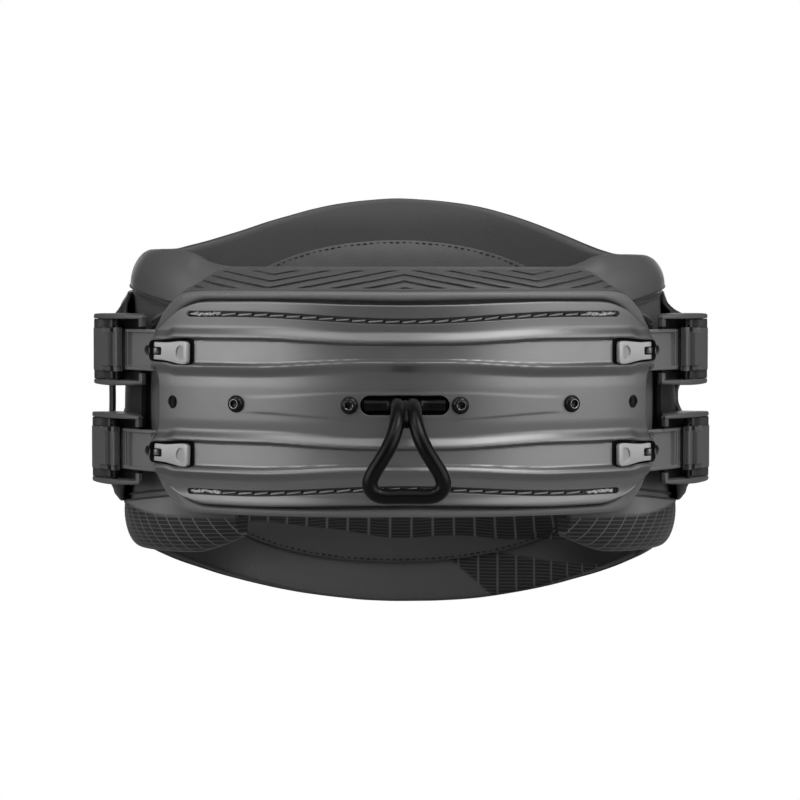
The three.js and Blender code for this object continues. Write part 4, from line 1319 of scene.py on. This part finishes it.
def build_seams():
    rng = np.random.default_rng(7)
    for name, sign in (("upper", 1), ("lower", -1)):
        add(f"tape_{name}", tape(sign), [tape_mat], "tape", f"seam_tape_{name}")
        stitches, tacks, hole_shades = [], [], []
        x = -109.5
        while x < 108:
            length = 8.3 + rng.uniform(-0.4, 0.4)
            tilt = 0.42 + rng.uniform(-0.12, 0.12)
            half = 0.5 + rng.uniform(-0.06, 0.06)
            stitches.append(
                ribbon(sign, x, x + length, -tilt - 0.2, tilt - 0.2, half, top=203.8, slant=0.2))
            hole_x = x + length + 0.8
            angle = math.degrees(math.asin(hole_x / STITCH_RADIUS))
            z = sign * slot_mid(hole_x)
            # Dark capsule at each needle hole: painted shade in the hole.
            hole_shades.append(
                capsule(on_bar(angle, 203.2, z - 0.5), on_bar(angle, 203.2, z + 0.5), 0.95, 8))
            x += length + 1.6
        # Two layers of short uneven tacks at each end.
        for s in (-1, 1):
            x = 110.5
            while x < 126.5:
                length = rng.uniform(2.0, 3.2)
                for layer in range(2):
                    rise0, rise1 = rng.uniform(-1.0, 1.0), rng.uniform(-1.0, 1.0)
                    tacks.append(
                        ribbon(sign, s * x, s * min(129.0, x + length), rise0, rise1, half=0.6,
                               top=203.9 + 0.35 * layer, slant=0.3 * s))
                x += length * 0.95
        for kind, parts, mat in (("stitches", stitches, dull_thread),
                                 ("tacks", tacks, pale_thread),
                                 ("hole_shades", hole_shades, dark_thread_and_hole_shade)):
            add(f"{kind}_{name}", join(*parts), [mat], "tape")


# ---------------------------------------------------------------- belt
# Rows are (degrees from the back's middle, value).
SEAM_TOP = curve([
    (0, 112), (30, 101), (60, 82), (90, 71.5), (105, 68.5), (116, 64.8), (125, 61), (135, 57),
    (144, 53)])
SEAM_BOTTOM = curve([
    (0, -124), (30, -112), (60, -90), (90, -69), (105, -65.5), (118, -62), (135, -57),
    (144, -53)])
# How far out the belt's top and bottom edges lie.
BELT_CREST = curve([
    (0, 12.5), (54, 12.0), (68, 8.0), (80, 3.4), (92, 2.2), (104, 2.0), (144, 2.0)])
BELT_ANGLES = np.linspace(-54, 234, 257)
QUILT_Z = -7.0


def belt_map(angles, points):
    """Finisher that adds the belt's UV map: angle / 10 and height in centimetres."""
    def finish(o):
        corners = np.zeros(len(o.data.loops), np.int32)
        o.data.loops.foreach_get("vertex_index", corners)
        uv = np.stack([angles[corners] / 10.0, points[corners, 2] / 10.0], -1)
        layer = o.data.uv_layers.new(name="belt")
        layer.data.foreach_set("uv", uv.astype(np.float32).ravel())

    return finish


def belt_ring(angle):
    """Section with thick rolled top and bottom edges and a recessed middle."""
    away = abs(angle - 90)
    (top, bottom), upper, lower = belt_edges(angle), SEAM_TOP(away), SEAM_BOTTOM(away)
    crest = BELT_CREST(away)
    full = 16.2 + 1.2 * smooth(85, 108, away) - crest
    soft = smooth(64, 80, away)
    turn = np.radians(np.linspace(0, 90, 18))
    top_out = crest + full * np.cos(turn) ** (0.85 + 0.17 * soft)
    top_z = upper + 0.4 + (top - upper - 0.4) * np.sin(turn) ** (0.92 + 0.06 * soft)
    bottom_out = (crest + full * np.cos(turn) ** 0.85)[::-1]
    bottom_z = lower - 0.4 + (bottom - lower + 0.4) * np.sin(turn[::-1]) ** 0.92
    recess = 3.2 * smooth(80, 100, away)
    middle_z = np.linspace(lower + 0.9, upper - 0.9, 12)
    from_seam = np.minimum(middle_z - lower, upper - middle_z)
    middle_out = 16.0 - recess * np.minimum(1, from_seam / 2.2 + 0.35)
    turn = np.radians(np.linspace(0, 90, 7))[1:]
    inner_out = crest - (crest - 0.6 if away > 78 else 1.8) * np.sin(turn)
    inner_drop = (2.5 + 6.5 * smooth(70, 92, away)) * (1 - np.cos(turn))
    out = np.concatenate([
        bottom_out, middle_out, top_out, inner_out, np.full(10, 10.4), inner_out[::-1]])
    z = np.concatenate([
        bottom_z, middle_z, top_z, top - 0.2 - inner_drop,
        np.linspace(top - 13, bottom + 13, 10), bottom + 0.2 + inner_drop[::-1]])
    # The belt thins towards its front ends.
    out = out - 1.6 * share(away - 138, 6) ** 2 * (out > 10.5)
    return on_belt(angle, out, z)


def lining_ring(angle):
    top, bottom = belt_edges(angle)
    inset = 0.6 + 8.0 * smooth(66, 84, abs(angle - 90))
    top, bottom = top - inset, bottom + inset
    r = 2.5  # rounding of the inner edges
    z = np.linspace(bottom + r, top - r, 40)
    turn = np.radians(np.linspace(20, 90, 4))
    edge_out = r - r * np.cos(turn)
    outer_z = z[::-4]
    out = np.concatenate([np.zeros(40), edge_out, [9.4, 10.0], np.full(len(outer_z), 10.0),
                          [10.0, 9.4], edge_out[::-1]])
    z = np.concatenate([z, top - r + r * np.sin(turn), [top, top - 1], outer_z,
                        [bottom + 1, bottom], bottom + r - r * np.sin(turn[::-1])])
    return on_belt(angle, out, z)


def build_belt_layer(name, ring, mat, slot, node):
    rings = [ring(angle) for angle in BELT_ANGLES]
    points, faces = loft(rings)
    angles = np.repeat(BELT_ANGLES, len(rings[0]))
    add(name, (points, faces), [mat], slot, node, sharp=60, finish=belt_map(angles, points))


def build_piping():
    """A cord along each seam and a thinner one beside it on the recess."""
    angles = np.linspace(-50, 230, 281)
    away = np.abs(angles - 90)
    parts = []
    for seam, s in ((SEAM_TOP, 1), (SEAM_BOTTOM, -1)):
        z = seam(away)
        parts.append(sweep(on_belt(angles, 16.1, z), 1.15, 10))
        parts.append(sweep(on_belt(angles, 14.6 - 0.6 * smooth(80, 100, away), z - s * 4.6), 0.8, 8))
    add("belt_piping", join(*parts), [piping_mat], "carrier")


def quilt_rim(phi):
    """Lumbar pad's rim: (degrees from the back's middle, height from the pad's centre)."""
    c, s = math.cos(phi), math.sin(phi)
    return (62.0 * c, 109.0 * s) if s >= 0 else (68.0 * c, 112.5 * s)


def build_lumbar():
    """Puffed quilt sewn down along one dark seam."""
    count = 180
    phi = circle(count)
    rim = np.array([quilt_rim(p) for p in phi])
    reach = np.linspace(0.02, 1, 26)
    rings, angles = [], []

    def ring(r, out):
        angle = 90 + rim[:, 0] * r
        rings.append(on_belt(angle, out, QUILT_Z + rim[:, 1] * r))
        angles.append(angle)

    for r in reach:
        fade = smooth(0.88, 0.985, r) * (1 - smooth(0.985, 1.0, r))
        pucker = 0.8 * np.cos(phi * 46) * fade
        ring(r, -0.3 - (5.6 * (1 - r**7) + 0.9 + pucker))
    for r in reach[::-6]:
        ring(r, -0.15)
    points, faces = loft(rings)
    add("lumbar_quilt", (points, faces), [lumbar_mat], "liner", "lumbar_pad", sharp=60,
        finish=belt_map(np.concatenate(angles), points))

    seam_share, pitch, length = 0.985, 4.5, 2.9
    rim = np.array([quilt_rim(p) for p in np.linspace(0, 2 * math.pi, 2000)]) * seam_share
    seam = on_belt(90 + rim[:, 0], -1.6, QUILT_Z + rim[:, 1])
    run = path_length(seam)
    stitches = []
    start = 0.0
    while start < run[-1] - 5:
        ends = (path_at(seam, run, d) for d in (start, start + length))
        stitches.append(capsule(*ends, 0.55, 7))
        start += pitch
    add("lumbar_stitches", join(*stitches), [dark_thread_and_hole_shade], "liner")


def build_belt():
    build_belt_layer("belt_foam", belt_ring, belt_mat, "carrier", "foam_carrier")
    build_piping()
    build_belt_layer("belt_lining", lining_ring, lining_mat, "liner", "inner_liner")
    build_lumbar()


# ---------------------------------------------------------------- shell
# Rows are (degrees from the back's middle, height).
SHELL_TOP = curve([
    (0, 108), (30, 98), (60, 78), (80, 68.5), (92, 66.8), (95, 65.6), (97.5, 62), (100, 57.5),
    (103, 51.5), (106, 47.5), (113.5, 45)])
SHELL_BOTTOM = curve([
    (0, -118), (30, -108), (60, -84), (80, -70), (94, -67.5), (98, -66.5), (100.5, -63),
    (102.5, -56.5), (105, -49.5), (113.5, -45.5)])
SHELL_HALF_THICK = 1.5
SHELL_MID = 18.5  # how far out the middle of its thickness lies
WING_SWELL = 7.3
BRIDGE_RADIUS = curve([(-50, 195.2), (-20, 194.6), (0, 194.2), (20, 194.5), (50, 194.8)])
BRIDGE_HALF = curve([(-50, 1.5), (-18, 1.2), (-6, 1.0), (6, 1.0), (18, 1.2), (50, 1.5)])
# Corners of a bridge's section as shares of its half width and half thickness.
BRIDGE_SECTION = ((1, 0.55), (0.8, 1), (-0.8, 1), (-1, 0.55), (-1, -0.55), (-0.8, -1),
                  (0.8, -1), (1, -0.55))


def shell_ring(angle):
    away = abs(angle - 90)
    right = angle < 90
    thick = SHELL_HALF_THICK
    inset = round_off(10.0, share(away - 109, 4.5))
    bottom, top = SHELL_BOTTOM(away) + inset, SHELL_TOP(away) - inset
    z = np.linspace(bottom + thick, top - thick, 40)
    turn = np.radians(np.linspace(0, 180, 9))[1:-1]
    # A low bead runs just inside the edge.
    bead = 0.9 * np.exp(-(((np.minimum(z - bottom, top - z) - 5.0) / 1.6) ** 2))
    side = WING_SWELL * math.exp(-(((away - 94) / 8.5) ** 2))

    def wing(z):
        """Outward swelling of the wing above and below the buckles."""
        h = np.abs(z)
        swell = side * smooth(38, 47, h)
        near_top = smooth(52, 60, z)
        above = swell * (1 - 1.25 * share(h - 52.5, 11.5) ** 0.9)
        above = above * (1 - (0.9 if right else 0.15) * near_top)
        above = above - (3.0 if right else 0.0) * side / WING_SWELL * near_top
        return np.where(z > 0, above, swell * (1 - share(h - 55.5, 11.5)))

    top_z = top - thick + thick * np.sin(turn)
    inner_z = z[::-2]
    bottom_z = bottom + thick - thick * np.sin(turn)
    return np.concatenate([
        on_belt(angle, SHELL_MID + thick + bead + wing(z), z),
        on_belt(angle, SHELL_MID + thick * np.cos(turn) + wing(top_z), top_z),
        on_belt(angle, SHELL_MID - thick + wing(inner_z), inner_z),
        on_belt(angle, SHELL_MID - thick * np.cos(turn) + wing(bottom_z), bottom_z),
    ])


def shell_cuts():
    """A window between each side's buckles, and the rivet holes."""
    window = rounded_corners(15, 6, 2.5, 6)
    cuts = []
    for s in (-1, 1):
        cuts.append(loft([[(s * x, 4 + y, z) for y, z in window] for x in (150, 210)]))
        for z, turn in ((ROW_Z, 0.0), (-ROW_Z, LOWER_TURN)):
            cuts.append(
                lathe(s * (RIVET_ANGLE + turn), 180, [(2.8, 0), (2.8, 20)], z=z, count=20))
    return join(*cuts)


def build_shell():
    def finish(o):
        boolean(o, shell_cuts())
        wear(o, shell_mat)

    solid = loft([shell_ring(angle) for angle in np.linspace(-23.5, 203.5, 319)])
    add("shell_hard", solid, [shell_mat], "shell", "outer_shell", sharp=45, finish=finish)


def build_bridges():
    """Upright strip on each side, running past both buckles."""
    heights = np.concatenate([
        np.linspace(-50, -22, 10), np.linspace(-20, 20, 21), np.linspace(22, 50, 10)])
    for side, flip in SIDES:
        # The right-hand strip bows in towards the belt between its buckles.
        bow = 0.0 if flip else 6.2
        rings = []
        for z in heights:
            middle = BRIDGE_RADIUS(z) - bow * (1 - smooth(2, 19, abs(z))) + 1.3 - 0.3 * bow
            angle = 70.6 - 0.06 * bow
            rings.append([
                on_bar(angle + BRIDGE_HALF(z) * u, middle + 1.5 * n, z)
                for u, n in BRIDGE_SECTION
            ])
        solid = loft(rings)
        add(f"bridge_{side}", mirrored(solid) if flip else solid, [shell_mat], "shell",
            f"side_bridge_{side}", sharp=40)


# ---------------------------------------------------------------- stage, light, camera (metres)
FLOOR_HALF = 14.0
FLOOR_DROP = 0.0006  # keeps the floor just under the object
COVE_Y, COVE_RADIUS, WALL_TOP = 3.0, 2.0, 9.0


def floor_material():
    """Plain white when seen directly; lights the object only as a matt pale surface."""
    mat = bpy.data.materials.new("floor_white")
    mat.use_nodes = True
    new, link = mat.node_tree.nodes.new, mat.node_tree.links.new
    matt = mat.node_tree.nodes["Principled BSDF"]
    matt.inputs["Base Color"].default_value = (0.32, 0.32, 0.32, 1)
    matt.inputs["Roughness"].default_value = 0.9
    white = new("ShaderNodeEmission")
    white.inputs["Color"].default_value = (1, 1, 1, 1)
    white.inputs["Strength"].default_value = 1.0
    ray = new("ShaderNodeLightPath")
    mix = new("ShaderNodeMixShader")
    link(ray.outputs["Is Camera Ray"], mix.inputs["Fac"])
    link(matt.outputs["BSDF"], mix.inputs[1])
    link(white.outputs["Emission"], mix.inputs[2])
    output = mat.node_tree.nodes["Material Output"]
    link(mix.outputs["Shader"], output.inputs["Surface"])
    noise = new("ShaderNodeTexNoise")
    noise.inputs["Scale"].default_value = 3.0
    bump = new("ShaderNodeBump")
    bump.inputs["Strength"].default_value = 0.02
    link(noise.outputs["Fac"], bump.inputs["Height"])
    link(bump.outputs["Normal"], matt.inputs["Normal"])
    return mat


def build_floor():
    """Floor that curves up into a wall behind the object."""
    mat = floor_material()
    rows = [(-FLOOR_HALF, 0.0), (COVE_Y, 0.0)]
    rows += [(COVE_Y + COVE_RADIUS * math.sin(a), COVE_RADIUS - COVE_RADIUS * math.cos(a))
             for a in np.radians(np.linspace(9, 90, 10))]
    rows += [(COVE_Y + COVE_RADIUS, WALL_TOP)]
    points = [(x, y, z - FLOOR_DROP) for y, z in rows for x in (-FLOOR_HALF, FLOOR_HALF)]
    faces = [(2 * i, 2 * i + 1, 2 * i + 3, 2 * i + 2) for i in range(len(rows) - 1)]
    mesh = bpy.data.meshes.new("floor")
    mesh.from_pydata(points, [], faces)
    mesh.materials.append(mat)
    mesh.shade_smooth()
    o = bpy.data.objects.new("floor", mesh)
    scene.collection.objects.link(o)


def build_world():
    world = bpy.data.worlds.new("studio")
    scene.world = world
    world.use_nodes = True
    background = world.node_tree.nodes["Background"]
    background.inputs["Color"].default_value = (1, 1, 1, 1)
    background.inputs["Strength"].default_value = 0.056


def area_light(name, place, width, height, power):
    """Soft box aimed at the object's middle."""
    light = bpy.data.lights.new(name, "AREA")
    light.energy = power
    light.shape = "RECTANGLE"
    light.size = width
    light.size_y = height
    o = bpy.data.objects.new(name, light)
    scene.collection.objects.link(o)
    o.location = place
    aim = Vector((0.0, 0.0, 0.14)) - Vector(place)
    o.rotation_euler = aim.to_track_quat("-Z", "Y").to_euler()
    return o


def build_lights():
    area_light("left_box", (-1.50, -0.82, 0.62), width=1.75, height=1.15, power=13.0)
    area_light("right_box", (1.46, -0.90, 0.62), width=2.0, height=1.2, power=14.0)
    area_light("front_fill", (0.1, -1.6, 1.75), width=1.5, height=0.8, power=4.8)
    area_light("right_fill", (0.95, -0.80, 1.85), width=1.1, height=0.9, power=17.0)
    area_light("left_fill", (-0.95, -0.80, 1.85), width=1.1, height=0.9, power=7.5)
    area_light("top_box", (0.0, -0.2, 1.7), width=1.4, height=0.8, power=3.4)
    # Low behind the object, so that it lights the back without reaching over it to the bar.
    back = area_light("back_box", (0.0, 1.5, 0.32), width=1.6, height=0.45, power=4.0)
    back.visible_camera = False


def build_camera():
    """Camera in front, a little above; its place is in the bar's millimetres."""
    data = bpy.data.cameras.new("camera")
    camera = bpy.data.objects.new("camera", data)
    scene.collection.objects.link(camera)
    scene.camera = camera
    data.sensor_width = 36.0
    data.lens = 122.1
    data.clip_end = 100.0
    distance = 1600.0
    elevation, yaw = math.radians(2.35), math.radians(1.0)
    target = np.array([0.0, -150.0, 0.0])
    view = np.array([math.sin(yaw) * math.cos(elevation), math.cos(yaw) * math.cos(elevation),
                     -math.sin(elevation)])
    right = np.cross(view, [0, 0, 1.0])
    right /= np.linalg.norm(right)
    up = np.cross(right, view)
    # The bar's middle sits a little right of and below the picture's centre.
    shift_left, shift_up = 2.8861, 3.1806
    place = put(target - view * distance - right * shift_left + up * shift_up)[0]
    rows = [(right[i], up[i], -view[i], place[i]) for i in range(3)]
    camera.matrix_world = Matrix((*rows, (0, 0, 0, 1)))
    scene.view_settings.view_transform = "Standard"


build_bar()
build_knuckles()
build_latch_shadow_sheets()
build_latches()
build_hook()
build_screws()
build_straps()
build_buckles()
build_pad()
build_seams()
build_belt()
build_shell()
build_bridges()
build_floor()
build_world()
build_lights()
build_camera()
